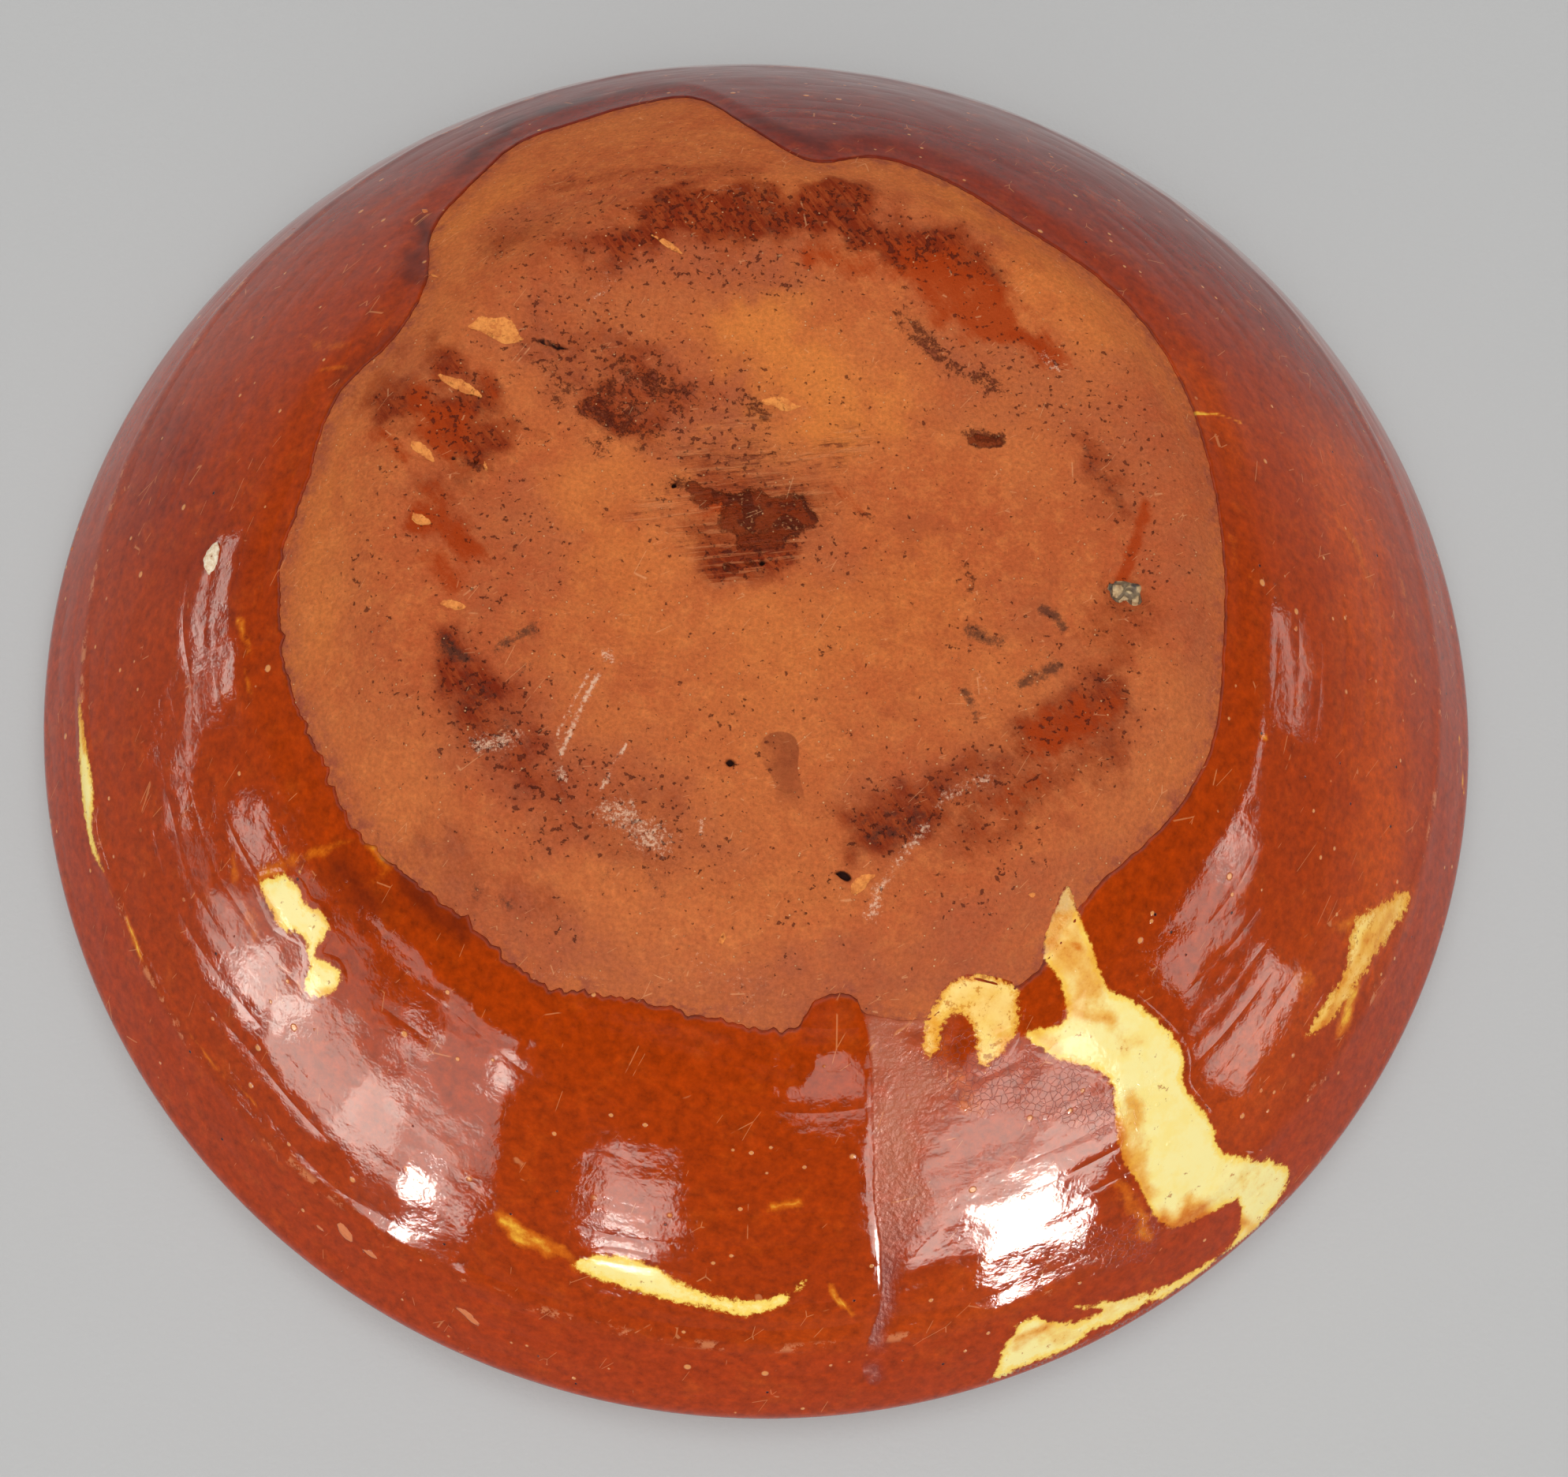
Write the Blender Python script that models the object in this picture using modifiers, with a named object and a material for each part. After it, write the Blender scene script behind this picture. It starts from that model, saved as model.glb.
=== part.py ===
"""A deep dish of wheel-thrown red earthenware, lying upside down: rim down, foot up.

Metres, +Z up. The turning axis is Z and the rim rests on z = 0, so the foot's flat face
looks up. The pieces are the fired clay, the lead glaze on its two sides, the pale slip that
was splashed on its outside, and a stone and a lime speck that are set in the clay.

An outline on the dish is a list of points seen from above. Each point is an angle round the
axis, in degrees from +X, and a distance in millimetres: out from the foot's flat face for
the glaze line and the small lobe beside it, and in from the outermost circle of the rim for
the other slip.
"""

import math

import bmesh
import bpy
from mathutils import Matrix, Vector

MM = 0.001

# The dish, over its glaze
RIM_RADIUS = 0.150
HEIGHT = 0.074
FOOT_RADIUS = 0.066
FOOT_ROUND_WIDTH = 0.008
FOOT_ROUND_DROP = 0.0026
RIDGE_INSET = 0.013
RIDGE_HEIGHT = 0.023
BAND_INSET = 0.001
BAND_FOOT_HEIGHT = 0.0085
LIP_ROUND_HEIGHT = 0.0055
LIP_OUTER_WIDTH = 0.0035
LIP_FLAT_WIDTH = 0.0015
LIP_INNER_WIDTH = 0.0035

# How steep the outside is, in degrees below level
FOOT_ROUND_SLOPE = 36
WALL_SLOPES = (30, 45)
BAND_SLOPES = (48, 54)

# The clay
WALL_THICKNESS = 0.007
FLOOR_THICKNESS = 0.008
FLOOR_ROUND_WIDTH = 0.012
FLOOR_ROUND_DROP = 0.0030
LIP_BLEND_HEIGHT = 0.00275

# The glaze and the slip
COAT_GAP = 0.0003
COAT_THICKNESS = 0.0007
COAT_END_HEIGHT = 0.0025
SLIP_CLEARANCE = 0.0003

# The stone in the foot and the lime speck in the wall
STONE_ANGLE = 359
STONE_DISTANCE = 0.0595
STONE_HALF_SIZES = (0.0034, 0.0030, 0.0030)
STONE_SINK = 0.0004
LIME_ANGLE = 189
LIME_INSET = 0.046
LIME_HALF_SIZES = (0.0024, 0.0032, 0.0016)
LIME_RISE = 0.0002
INCLUSION_CLEARANCE = 0.0003

# How lumpy the stone and the speck are: a share of their size, and waves along X, Y and Z
LUMP_SHARE = 0.06
LUMP_WAVES = Vector((3.1, 1.7, 2.3))

# How finely the shapes are divided: round the axis, along each curve, and along an outline
STEPS = 60
FOOT_ROUND_PIECES = 3
WALL_PIECES = 8
BAND_PIECES = 3
EDGE_PIECES = 2
LIP_OUTER_PIECES = 4
LIP_INNER_PIECES = 3
FLOOR_ROUND_PIECES = 3
OUTLINE_PIECES = 2

MERGE_DISTANCE = 0.00001
CUTTER_REACH = 0.02

GLAZE_LINE = [
    (109, 43), (103, 26), (96, 14), (88, 18), (78, 16), (65, 13), (53, 15), (44, 16), (34, 15),
    (23, 13), (10, 12), (356, 13), (342, 17), (333, 17), (319, 15), (307, 20), (296, 20),
    (285, 16), (277, 20), (262, 19), (250, 21), (238, 20), (225, 24), (207, 24), (191, 24),
    (175, 20), (161, 16), (152, 19), (144, 30), (135, 38), (126, 45), (116, 46),
]

LARGE_SPLASH = [
    (316.5, 72.5), (316, 67), (315.5, 62), (315, 56), (317, 50), (318.5, 41), (318.5, 37),
    (317.5, 33), (318.5, 25.5), (318, 19), (320, 14), (322, 10.5), (322.5, 6), (320, 3.5),
    (317, 2.5), (312, 2.5), (306, 3.0), (301, 2.5), (296.5, 2.2), (297.2, 6.5), (299.5, 11),
    (301.5, 8), (306, 6.8), (310.5, 5.8), (315, 5.5), (316.5, 7.5), (316.5, 10.5), (313.5, 12),
    (311, 15), (310, 23.5), (309.5, 31), (311, 38.5), (310.5, 43.5), (307.5, 49), (305.5, 54),
    (309.5, 55.5), (310.5, 60.5), (311.5, 65.5),
]

SMALL_LOBE = [
    (295, 25.5), (296, 20), (298.5, 17), (302, 17), (304.5, 20), (304.7, 23.5), (303.2, 25.5),
    (301.5, 22), (299.6, 21), (298, 22.5),
]

LEFT_SPLASH = [
    (222.5, 42), (223.5, 46.5), (225.5, 47.5), (227.5, 47), (229, 49), (230.5, 48), (231.2, 45),
    (231.8, 43), (233.5, 44.5), (235, 43.5), (234.8, 40.5), (233.5, 38), (231.8, 38),
    (230.4, 40.8), (228.4, 41.5), (226, 40.5), (224, 40.5),
]

FRONT_STREAK = [
    (263, 23), (265, 25.5), (267.5, 26.5), (270, 26), (272, 24.2), (275, 23), (278, 23),
    (280, 24.2), (282, 25.8), (281.2, 23), (279, 20), (277, 19.5), (273, 20.3), (269.5, 21),
    (266, 21.5),
]

RIGHT_STREAK = [
    (340, 26.5), (342, 24), (346, 17), (343.5, 15.5), (340, 17.5), (336, 18.5), (333, 19.2),
    (329.5, 21.8), (332.5, 23.5), (336.5, 24.2),
]

RIDGE_STREAK = [
    (196, 13.5), (197.5, 15.4), (199.5, 16.6), (202, 17.1), (204.5, 17.4), (206.5, 16.6),
    (209, 15.3), (212, 14), (209.5, 12.3), (206.5, 12.1), (204, 12.4), (200, 12.6),
]


def clear_scene():
    for obj in list(bpy.data.objects):
        bpy.data.objects.remove(obj)


def collection_named(name, hidden=False):
    found = bpy.data.collections.new(name)
    bpy.context.scene.collection.children.link(found)
    found.hide_render = hidden
    return found


def material(name, colour, roughness, metallic=0.0):
    made = bpy.data.materials.new(name)
    made.use_nodes = True
    shader = made.node_tree.nodes["Principled BSDF"]
    shader.inputs["Base Color"].default_value = (*colour, 1)
    shader.inputs["Roughness"].default_value = roughness
    shader.inputs["Metallic"].default_value = metallic
    made.diffuse_color = (*colour, 1)
    return made


# Profiles: points of (radius, height), from the axis out and down

def swept(start, end, first_slope, last_slope, pieces):
    """Points after start, up to end, on a curve whose slope turns evenly from first to last."""
    step = (last_slope - first_slope) / pieces
    slopes = [math.radians(first_slope + step * (i + 0.5)) for i in range(pieces)]
    run = sum(math.cos(s) for s in slopes)
    fall = sum(math.sin(s) for s in slopes)
    width, drop = end[0] - start[0], start[1] - end[1]
    scale = math.hypot(width, drop) / math.hypot(run, fall)
    turn = math.atan2(drop, width) - math.atan2(fall, run)
    points, r, z = [], start[0], start[1]
    for slope in slopes:
        r += scale * math.cos(slope + turn)
        z -= scale * math.sin(slope + turn)
        points.append((r, z))
    return points


def quarter_round(start, end, pieces):
    """Points after start, up to end, on a quarter of an ellipse that starts upright and ends level."""
    points = []
    for i in range(1, pieces + 1):
        t = math.radians(90 * i / pieces)
        across = (end[0] - start[0]) * (1 - math.cos(t))
        down = (end[1] - start[1]) * math.sin(t)
        points.append((start[0] + across, start[1] + down))
    return points


def normals(profile):
    """For each point, the direction off the surface, with the length that keeps an even offset."""
    sides = []
    for (r0, z0), (r1, z1) in zip(profile, profile[1:]):
        length = math.hypot(r1 - r0, z1 - z0)
        sides.append(Vector(((z0 - z1) / length, (r1 - r0) / length)))
    sides = [sides[0], *sides, sides[-1]]
    found = []
    for before, after in zip(sides, sides[1:]):
        middle = (before + after).normalized()
        found.append(middle / middle.dot(before))
    return found


def offset(profile, distance):
    return [
        (r + n.x * distance, z + n.y * distance)
        for (r, z), n in zip(profile, normals(profile))
    ]


def clay_rim_radius():
    return RIM_RADIUS - COAT_GAP - COAT_THICKNESS


def heel():
    """Where the foot's round meets the wall."""
    return (FOOT_RADIUS + FOOT_ROUND_WIDTH, HEIGHT - FOOT_ROUND_DROP)


def wall_outside():
    """The clay's outside below the heel, down to the widest circle of the lip."""
    rim = clay_rim_radius()
    ridge = (rim - RIDGE_INSET, RIDGE_HEIGHT)
    band_foot = (rim - BAND_INSET, BAND_FOOT_HEIGHT)
    return [
        *swept(heel(), ridge, *WALL_SLOPES, WALL_PIECES),
        *swept(ridge, band_foot, *BAND_SLOPES, BAND_PIECES),
        *swept(band_foot, (rim, LIP_ROUND_HEIGHT), BAND_SLOPES[1], 90, EDGE_PIECES),
    ]


def outside_profile():
    """The clay's outside, from the foot's middle to the widest circle of the lip."""
    foot = (FOOT_RADIUS, HEIGHT)
    foot_round = swept(foot, heel(), 0, FOOT_ROUND_SLOPE, FOOT_ROUND_PIECES)
    return [(0.0, HEIGHT), foot, *foot_round, *wall_outside()]


def lip_outside():
    """From the widest circle down to the flat that the dish rests on."""
    rim = clay_rim_radius()
    return quarter_round((rim, LIP_ROUND_HEIGHT), (rim - LIP_OUTER_WIDTH, 0), LIP_OUTER_PIECES)


def lip_inner_radius():
    return clay_rim_radius() - LIP_OUTER_WIDTH - LIP_FLAT_WIDTH - LIP_INNER_WIDTH


def inside_profile():
    """The clay's inside, from the floor's middle to the top of the lip's inner round."""
    floor_height = HEIGHT - FLOOR_THICKNESS
    low = LIP_ROUND_HEIGHT + LIP_BLEND_HEIGHT
    high = floor_height - FLOOR_ROUND_DROP
    wall = [p for p in offset(wall_outside(), -WALL_THICKNESS) if low < p[1] < high]
    wall = [p for p in wall if p[0] < lip_inner_radius()]
    floor_edge = (wall[0][0] - FLOOR_ROUND_WIDTH, floor_height)
    first_slope = math.degrees(math.atan2(wall[0][1] - wall[1][1], wall[1][0] - wall[0][0]))
    return [
        (0.0, floor_height),
        floor_edge,
        *swept(floor_edge, wall[0], 0, first_slope, FLOOR_ROUND_PIECES),
        *wall[1:],
        (lip_inner_radius(), LIP_ROUND_HEIGHT),
    ]


def lip_inside():
    """From the top of the lip's inner round down to the flat, read outwards."""
    inner = lip_inner_radius()
    return quarter_round((inner, LIP_ROUND_HEIGHT), (inner + LIP_INNER_WIDTH, 0), LIP_INNER_PIECES)


def above_coat_end(lip):
    return [p for p in lip if p[1] > COAT_END_HEIGHT]


def coat_of(profile, side):
    """The near and far faces of a coat on this profile: side is 1 outside the dish and -1 inside."""
    near = offset(profile, side * COAT_GAP)
    far = offset(profile, side * (COAT_GAP + COAT_THICKNESS))
    return near, far


# Meshes

def new_object(name, mesh, where, finish=None):
    obj = bpy.data.objects.new(name, mesh)
    where.objects.link(obj)
    if finish:
        mesh.materials.append(finish)
        mesh.shade_smooth()
    return obj


def turned(name, profile, where, finish=None, ring=False):
    """A profile turned once round Z. A ring's profile closes on itself, clear of the axis."""
    shape = bmesh.new()
    points = [shape.verts.new((r, 0, z)) for r, z in profile]
    ends = zip(points, points[1:] + points[:1]) if ring else zip(points, points[1:])
    for a, b in ends:
        shape.edges.new((a, b))
    mesh = bpy.data.meshes.new(name)
    shape.to_mesh(mesh)
    shape.free()
    obj = new_object(name, mesh, where, finish)
    screw = obj.modifiers.new("turn", "SCREW")
    screw.steps = screw.render_steps = STEPS
    screw.use_merge_vertices = True
    screw.merge_threshold = MERGE_DISTANCE
    screw.use_smooth_shade = True
    return obj


def smooth_loop(points):
    """Points on a smooth closed curve through the given ones."""
    loop, count = [], len(points)
    for i in range(count):
        a, b, c, d = (points[(i + k) % count] for k in (-1, 0, 1, 2))
        slope, bend, twist = c - a, 2 * a - 5 * b + 4 * c - d, 3 * b - 3 * c + d - a
        for step in range(OUTLINE_PIECES):
            t = step / OUTLINE_PIECES
            loop.append(b + (slope * t + bend * t**2 + twist * t**3) / 2)
    return loop


def plan(outline, start, outwards):
    """The outline's points in metres, seen from above."""
    points = []
    for degrees, distance in outline:
        radius = start + outwards * distance * MM
        angle = math.radians(degrees)
        points.append(Vector((radius * math.cos(angle), radius * math.sin(angle))))
    return points


def from_foot(outline):
    return plan(outline, FOOT_RADIUS, 1)


def from_rim(outline):
    return plan(outline, RIM_RADIUS, -1)


def area(loop):
    return sum(a.x * b.y - a.y * b.x for a, b in zip(loop, loop[1:] + loop[:1])) / 2


def grown(loop, distance):
    """The loop moved outwards by this distance."""
    side = 1 if area(loop) > 0 else -1
    moved = []
    for i, point in enumerate(loop):
        along = (loop[(i + 1) % len(loop)] - loop[i - 1]).normalized()
        moved.append(point + Vector((along.y, -along.x)) * distance * side)
    return moved


def prism(name, loop, where):
    """A cutter that stands on this outline, taller than the dish."""
    if area(loop) < 0:
        loop = loop[::-1]
    shape = bmesh.new()
    low = shape.faces.new([shape.verts.new((p.x, p.y, -CUTTER_REACH)) for p in loop])
    low.normal_flip()
    top = bmesh.ops.extrude_face_region(shape, geom=[low], use_keep_orig=True)["geom"]
    rise = Vector((0, 0, HEIGHT + 2 * CUTTER_REACH))
    bmesh.ops.translate(shape, vec=rise, verts=[g for g in top if isinstance(g, bmesh.types.BMVert)])
    bmesh.ops.recalc_face_normals(shape, faces=shape.faces)
    mesh = bpy.data.meshes.new(name)
    shape.to_mesh(mesh)
    shape.free()
    return as_cutter(new_object(name, mesh, where))


def as_cutter(obj):
    obj.hide_render = True
    obj.display_type = "WIRE"
    return obj


def cut(obj, cutter, operation="DIFFERENCE"):
    boolean = obj.modifiers.new(cutter.name, "BOOLEAN")
    boolean.operation = operation
    boolean.solver = "EXACT"
    boolean.object = cutter


def pebble(name, half_sizes, growth, place, where, finish=None, flat_top=False):
    """A lumpy stone at this place. A flat top cuts it level through its middle."""
    shape = bmesh.new()
    bmesh.ops.create_icosphere(shape, subdivisions=2, radius=1)
    for vert in shape.verts:
        wave = vert.co * LUMP_WAVES
        vert.co *= 1 + LUMP_SHARE * math.sin(wave.x + wave.y) * math.cos(wave.z)
    if flat_top:
        every = shape.verts[:] + shape.edges[:] + shape.faces[:]
        level = {"plane_co": (0, 0, 0), "plane_no": (0, 0, 1)}
        bmesh.ops.bisect_plane(shape, geom=every, clear_outer=True, **level)
        bmesh.ops.holes_fill(shape, edges=[e for e in shape.edges if e.is_boundary])
    bmesh.ops.recalc_face_normals(shape, faces=shape.faces)
    bmesh.ops.scale(shape, vec=[size + growth for size in half_sizes], verts=shape.verts)
    shape.transform(place)
    mesh = bpy.data.meshes.new(name)
    shape.to_mesh(mesh)
    shape.free()
    return new_object(name, mesh, where, finish)


def place_on_outside(degrees, radius, rise):
    """The frame of a point on the clay's outside: X round the dish, Z off the surface."""
    profile = outside_profile()
    for (r0, z0), (r1, z1) in zip(profile, profile[1:]):
        if r1 > radius:
            break
    share = (radius - r0) / (r1 - r0)
    length = math.hypot(r1 - r0, z1 - z0)
    normal = Vector(((z0 - z1) / length, 0, (r1 - r0) / length))
    point = Vector((radius, 0, z0 + (z1 - z0) * share)) + normal * rise
    tilt = Matrix.Rotation(math.atan2(normal.x, normal.z), 4, "Y")
    return Matrix.Rotation(math.radians(degrees), 4, "Z") @ Matrix.Translation(point) @ tilt


# The pieces

def make_clay_body(parts, finish):
    profile = outside_profile() + lip_outside() + (inside_profile() + lip_inside())[::-1]
    return turned("clay_body", profile, parts, finish)


def outer_coat_profile():
    profile = [p for p in outside_profile() if p[0] >= FOOT_RADIUS] + above_coat_end(lip_outside())
    near, far = coat_of(profile, 1)
    return far + near[::-1]


def make_outer_glaze(parts, finish):
    return turned("outer_glaze", outer_coat_profile(), parts, finish, ring=True)


def make_inner_glaze(parts, finish):
    near, far = coat_of(inside_profile() + above_coat_end(lip_inside()), -1)
    near[0], far[0] = (0.0, near[0][1]), (0.0, far[0][1])
    return turned("inner_glaze", near + far[::-1], parts, finish)


def make_slip(name, points, parts, cutters, glaze, finish):
    """A piece of slip in a window of the glaze, flush with it."""
    loop = smooth_loop(points)
    cut(glaze, prism(name + "_window", grown(loop, SLIP_CLEARANCE), cutters))
    slip = turned(name, outer_coat_profile(), parts, finish, ring=True)
    cut(slip, prism(name + "_outline", loop, cutters), "INTERSECT")
    return slip


def make_stone(parts, cutters, clay, finish):
    place = place_on_outside(STONE_ANGLE, STONE_DISTANCE, -STONE_SINK)
    pit = pebble("stone_pit", STONE_HALF_SIZES, INCLUSION_CLEARANCE, place, cutters)
    cut(clay, as_cutter(pit))
    return pebble("grit_stone", STONE_HALF_SIZES, 0, place, parts, finish, flat_top=True)


def make_lime_speck(parts, cutters, clay, glaze, finish):
    place = place_on_outside(LIME_ANGLE, RIM_RADIUS - LIME_INSET, LIME_RISE)
    pit = as_cutter(pebble("lime_pit", LIME_HALF_SIZES, INCLUSION_CLEARANCE, place, cutters))
    cut(clay, pit)
    cut(glaze, pit)
    return pebble("lime_speck", LIME_HALF_SIZES, 0, place, parts, finish)


def main():
    clear_scene()
    parts = collection_named("deep_dish")
    cutters = collection_named("cutters", hidden=True)
    fired_clay = material("fired red clay", (0.48, 0.15, 0.05), 0.85)
    clear_glaze = material("orange brown lead glaze", (0.36, 0.07, 0.01), 0.12)
    inside_glaze = material("inside lead glaze", (0.30, 0.06, 0.01), 0.15)
    pale_slip = material("yellow slip under glaze", (0.80, 0.52, 0.10), 0.15)
    thin_slip = material("thin slip under glaze", (0.62, 0.28, 0.05), 0.15)

    clay = make_clay_body(parts, fired_clay)
    glaze = make_outer_glaze(parts, clear_glaze)
    make_inner_glaze(parts, inside_glaze)
    cut(glaze, prism("bare_foot", smooth_loop(from_foot(GLAZE_LINE)), cutters))
    make_slip("slip_splash_large", from_rim(LARGE_SPLASH), parts, cutters, glaze, pale_slip)
    make_slip("slip_lobe", from_foot(SMALL_LOBE), parts, cutters, glaze, thin_slip)
    make_slip("slip_splash_left", from_rim(LEFT_SPLASH), parts, cutters, glaze, pale_slip)
    make_slip("slip_streak_front", from_rim(FRONT_STREAK), parts, cutters, glaze, pale_slip)
    make_slip("slip_streak_right", from_rim(RIGHT_STREAK), parts, cutters, glaze, thin_slip)
    make_slip("slip_streak_ridge", from_rim(RIDGE_STREAK), parts, cutters, glaze, pale_slip)
    make_stone(parts, cutters, clay, material("grey grit", (0.16, 0.14, 0.11), 0.8))
    make_lime_speck(parts, cutters, clay, glaze, material("white lime", (0.85, 0.80, 0.68), 0.7))


main()
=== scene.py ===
"""The looks of a wheel-thrown earthenware dish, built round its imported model.

Metres, +Z up. The dish lies upside down on its rim, as it was photographed: the bare foot
looks up, and the wall falls away to a soft ridge, a band and the lip. Glaze line, slip and
marks are placed where the photograph shows them, by pixels of its frame. Each pixel is carried
along its line of sight to the dish's surface, so what it places lies on the dish from any side.

A profile is an array of complex numbers, each a radius + a height * 1j. A plan is the same
for points seen from above: x + y * 1j. A way is a distance along a profile.
"""

import math

import bmesh
import bpy
import numpy as np
from bpy.props import FloatProperty, FloatVectorProperty, PointerProperty
from bpy.types import Operator, Panel, PropertyGroup
from mathutils import Matrix, Vector


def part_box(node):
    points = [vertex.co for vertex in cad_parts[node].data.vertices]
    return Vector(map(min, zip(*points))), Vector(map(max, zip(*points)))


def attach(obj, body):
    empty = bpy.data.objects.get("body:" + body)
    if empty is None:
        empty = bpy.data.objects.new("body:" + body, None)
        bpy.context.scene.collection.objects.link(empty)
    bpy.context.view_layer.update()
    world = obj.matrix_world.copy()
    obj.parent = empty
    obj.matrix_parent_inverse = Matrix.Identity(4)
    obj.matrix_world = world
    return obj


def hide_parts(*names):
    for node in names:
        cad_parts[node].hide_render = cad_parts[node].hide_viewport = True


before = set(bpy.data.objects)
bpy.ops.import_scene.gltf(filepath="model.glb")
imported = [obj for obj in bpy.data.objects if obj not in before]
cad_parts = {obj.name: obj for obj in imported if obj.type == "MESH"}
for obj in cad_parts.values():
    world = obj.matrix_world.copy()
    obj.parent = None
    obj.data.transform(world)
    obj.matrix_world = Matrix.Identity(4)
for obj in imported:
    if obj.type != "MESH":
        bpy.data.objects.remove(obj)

bl_info = {
    "name": "Earthenware Dish",
    "version": (1, 0, 0),
    "blender": (4, 5, 0),
    "location": "3D View > Sidebar > Dish",
    "description": "Builds a thrown red clay dish with its lead glaze, slip splashes and wear",
    "category": "Add Mesh",
}

MM = 0.001

# The clay's outside and inside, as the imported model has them
HEEL_WIDTH = 0.008
HEEL_DROP = 0.0026
HEEL_SLOPE = 36
WALL_SLOPES = (30, 45)
BAND_SLOPES = (48, 54)
RIDGE_INSET = 0.013
RIDGE_HEIGHT = 0.023
BAND_INSET = 0.001
BAND_FOOT_HEIGHT = 0.0085
LIP_ROUND_HEIGHT = 0.0055
LIP_OUTER_WIDTH = 0.0035
LIP_FLAT_WIDTH = 0.0015
LIP_INNER_WIDTH = 0.0035
FLOOR_ROUND_WIDTH = 0.012
FLOOR_ROUND_DROP = 0.003
LIP_BLEND_HEIGHT = 0.00275
COAT_END_HEIGHT = 0.0025

# The photograph's frame and its view of the dish
FRAME_WIDTH = 1988
FRAME_HEIGHT = 1872
FOCAL_PIXELS = 2126
SENSOR_WIDTH = 36
AIM = Vector((0.0056, -0.0172, 0.007))
EYE_ELEVATION = 72.4
EYE_DISTANCE = 0.350
EYE_ROLL = -10.0
FOOT_PIXEL = 0.00013
SIGHT_STEPS = 1500
DRAW_IN = 0.996

# How fine the meshes are
FIRST_STEPS = 20
CLAY_STEPS = 400
OUTER_GLAZE_STEPS = 1100
INNER_GLAZE_STEPS = 360
FINE_RINGS_END = 0.045
FINE_RING = 0.0006
WALL_RING = 0.00095
INNER_RINGS = 80
MARK_REACH = 0.0024

# A sheet of slip: its cells, how far it reaches past its outline and stops short of the rim, and
# how thick it is
SLIP_CELL = 0.55 * MM
SLIP_MARGIN = 2.4 * MM
SLIP_RIM_MARGIN = 1.35 * MM
SLIP_THICKNESS = 0.4 * MM

# How far a coat's hidden side stands off the clay, and how far its ends sink into it
COAT_BACK = 0.1 * MM
EDGE_SINK = 0.06 * MM
END_SINK = 0.12 * MM

# The thrown surface: its waves, the bead along its ridge, and how far it is sunk to hold them near
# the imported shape
SWELL = 0.00022
DIMPLE = 0.00004
WALL_SUNK = 0.00012
RIDGE_BEAD = 0.00016
RIDGE_BEAD_WAVE = 0.00006
RIDGE_BEAD_WIDTH = 0.0022
FOOT_SUNK = 0.00016
FOOT_WAVE = 0.00008

# A depth that stands for well outside every outline
FAR_OUTSIDE = -0.02

# Outlines, by pixels of the photograph
GLAZE_LINE = [
    (880, 125), (955, 165), (1030, 205), (1110, 200), (1200, 230), (1300, 290), (1390, 350), (1450, 410),
    (1500, 490), (1530, 580), (1545, 660), (1552, 740), (1550, 820), (1545, 900), (1530, 960), (1490, 1030),
    (1440, 1080), (1385, 1130), (1340, 1200), (1290, 1250), (1230, 1240), (1180, 1290), (1100, 1285),
    (1088, 1268), (1062, 1258), (1036, 1266), (1020, 1290), (1000, 1306), (900, 1290), (800, 1265),
    (680, 1240), (600, 1170), (520, 1110), (450, 1050), (400, 940), (368, 870), (355, 790), (357, 700),
    (385, 630), (412, 540), (440, 490), (500, 430), (540, 360), (548, 290), (600, 230), (660, 180),
    (740, 152), (800, 135),
]
LARGE_SPLASH = [
    (1352, 1122), (1370, 1160), (1385, 1200), (1400, 1245), (1440, 1270), (1486, 1313), (1499, 1340),
    (1500, 1375), (1530, 1416), (1546, 1456), (1584, 1465), (1611, 1466), (1631, 1488), (1604, 1541),
    (1577, 1577), (1540, 1606), (1486, 1637), (1414, 1668), (1376, 1685), (1352, 1704), (1300, 1726),
    (1258, 1742), (1271, 1700), (1307, 1660), (1347, 1673), (1395, 1655), (1356, 1653), (1445, 1635),
    (1521, 1599), (1564, 1560), (1560, 1520), (1510, 1545), (1468, 1548), (1440, 1500), (1415, 1455),
    (1408, 1394), (1396, 1358), (1338, 1340), (1298, 1308), (1345, 1290), (1340, 1240), (1322, 1205),
]
LEFT_SPLASH = [
    (333, 1118), (365, 1108), (384, 1122), (395, 1143), (416, 1152), (424, 1172), (412, 1192), (406, 1212),
    (430, 1220), (438, 1240), (425, 1256), (400, 1260), (392, 1246), (396, 1222), (392, 1192), (372, 1180),
    (352, 1165),
]
FRONT_STREAK = [
    (725, 1598), (760, 1586), (800, 1589), (835, 1600), (860, 1618), (910, 1638), (957, 1643), (990, 1634),
    (1024, 1616), (1010, 1634), (975, 1657), (940, 1663), (880, 1650), (820, 1636), (765, 1620),
]
RIGHT_STREAK = [
    (1712, 1165), (1732, 1150), (1778, 1128), (1770, 1165), (1742, 1205), (1712, 1252), (1686, 1288),
    (1650, 1310), (1672, 1270), (1698, 1225),
]
RIDGE_STREAK = [
    (104, 880), (107, 886), (112, 908), (117, 945), (124, 985), (127, 1020), (126, 1058), (140, 1106),
    (123, 1080), (115, 1045), (110, 1000), (107, 940),
]
SMALL_LOBE = [
    (1172, 1342), (1168, 1312), (1179, 1283), (1200, 1249), (1227, 1235), (1254, 1236), (1281, 1243),
    (1292, 1263), (1288, 1294), (1276, 1325), (1257, 1345), (1240, 1350), (1231, 1332), (1232, 1306),
    (1222, 1289), (1206, 1286), (1195, 1301), (1188, 1332),
]
DRY_RUN = [
    (1098, 1240), (1102, 1330), (1104, 1440), (1106, 1520), (1114, 1590), (1112, 1650), (1096, 1700),
    (1090, 1735), (1104, 1752), (1122, 1740), (1138, 1680), (1150, 1600), (1200, 1540), (1230, 1450),
    (1230, 1360), (1240, 1290), (1230, 1240),
]

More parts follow.
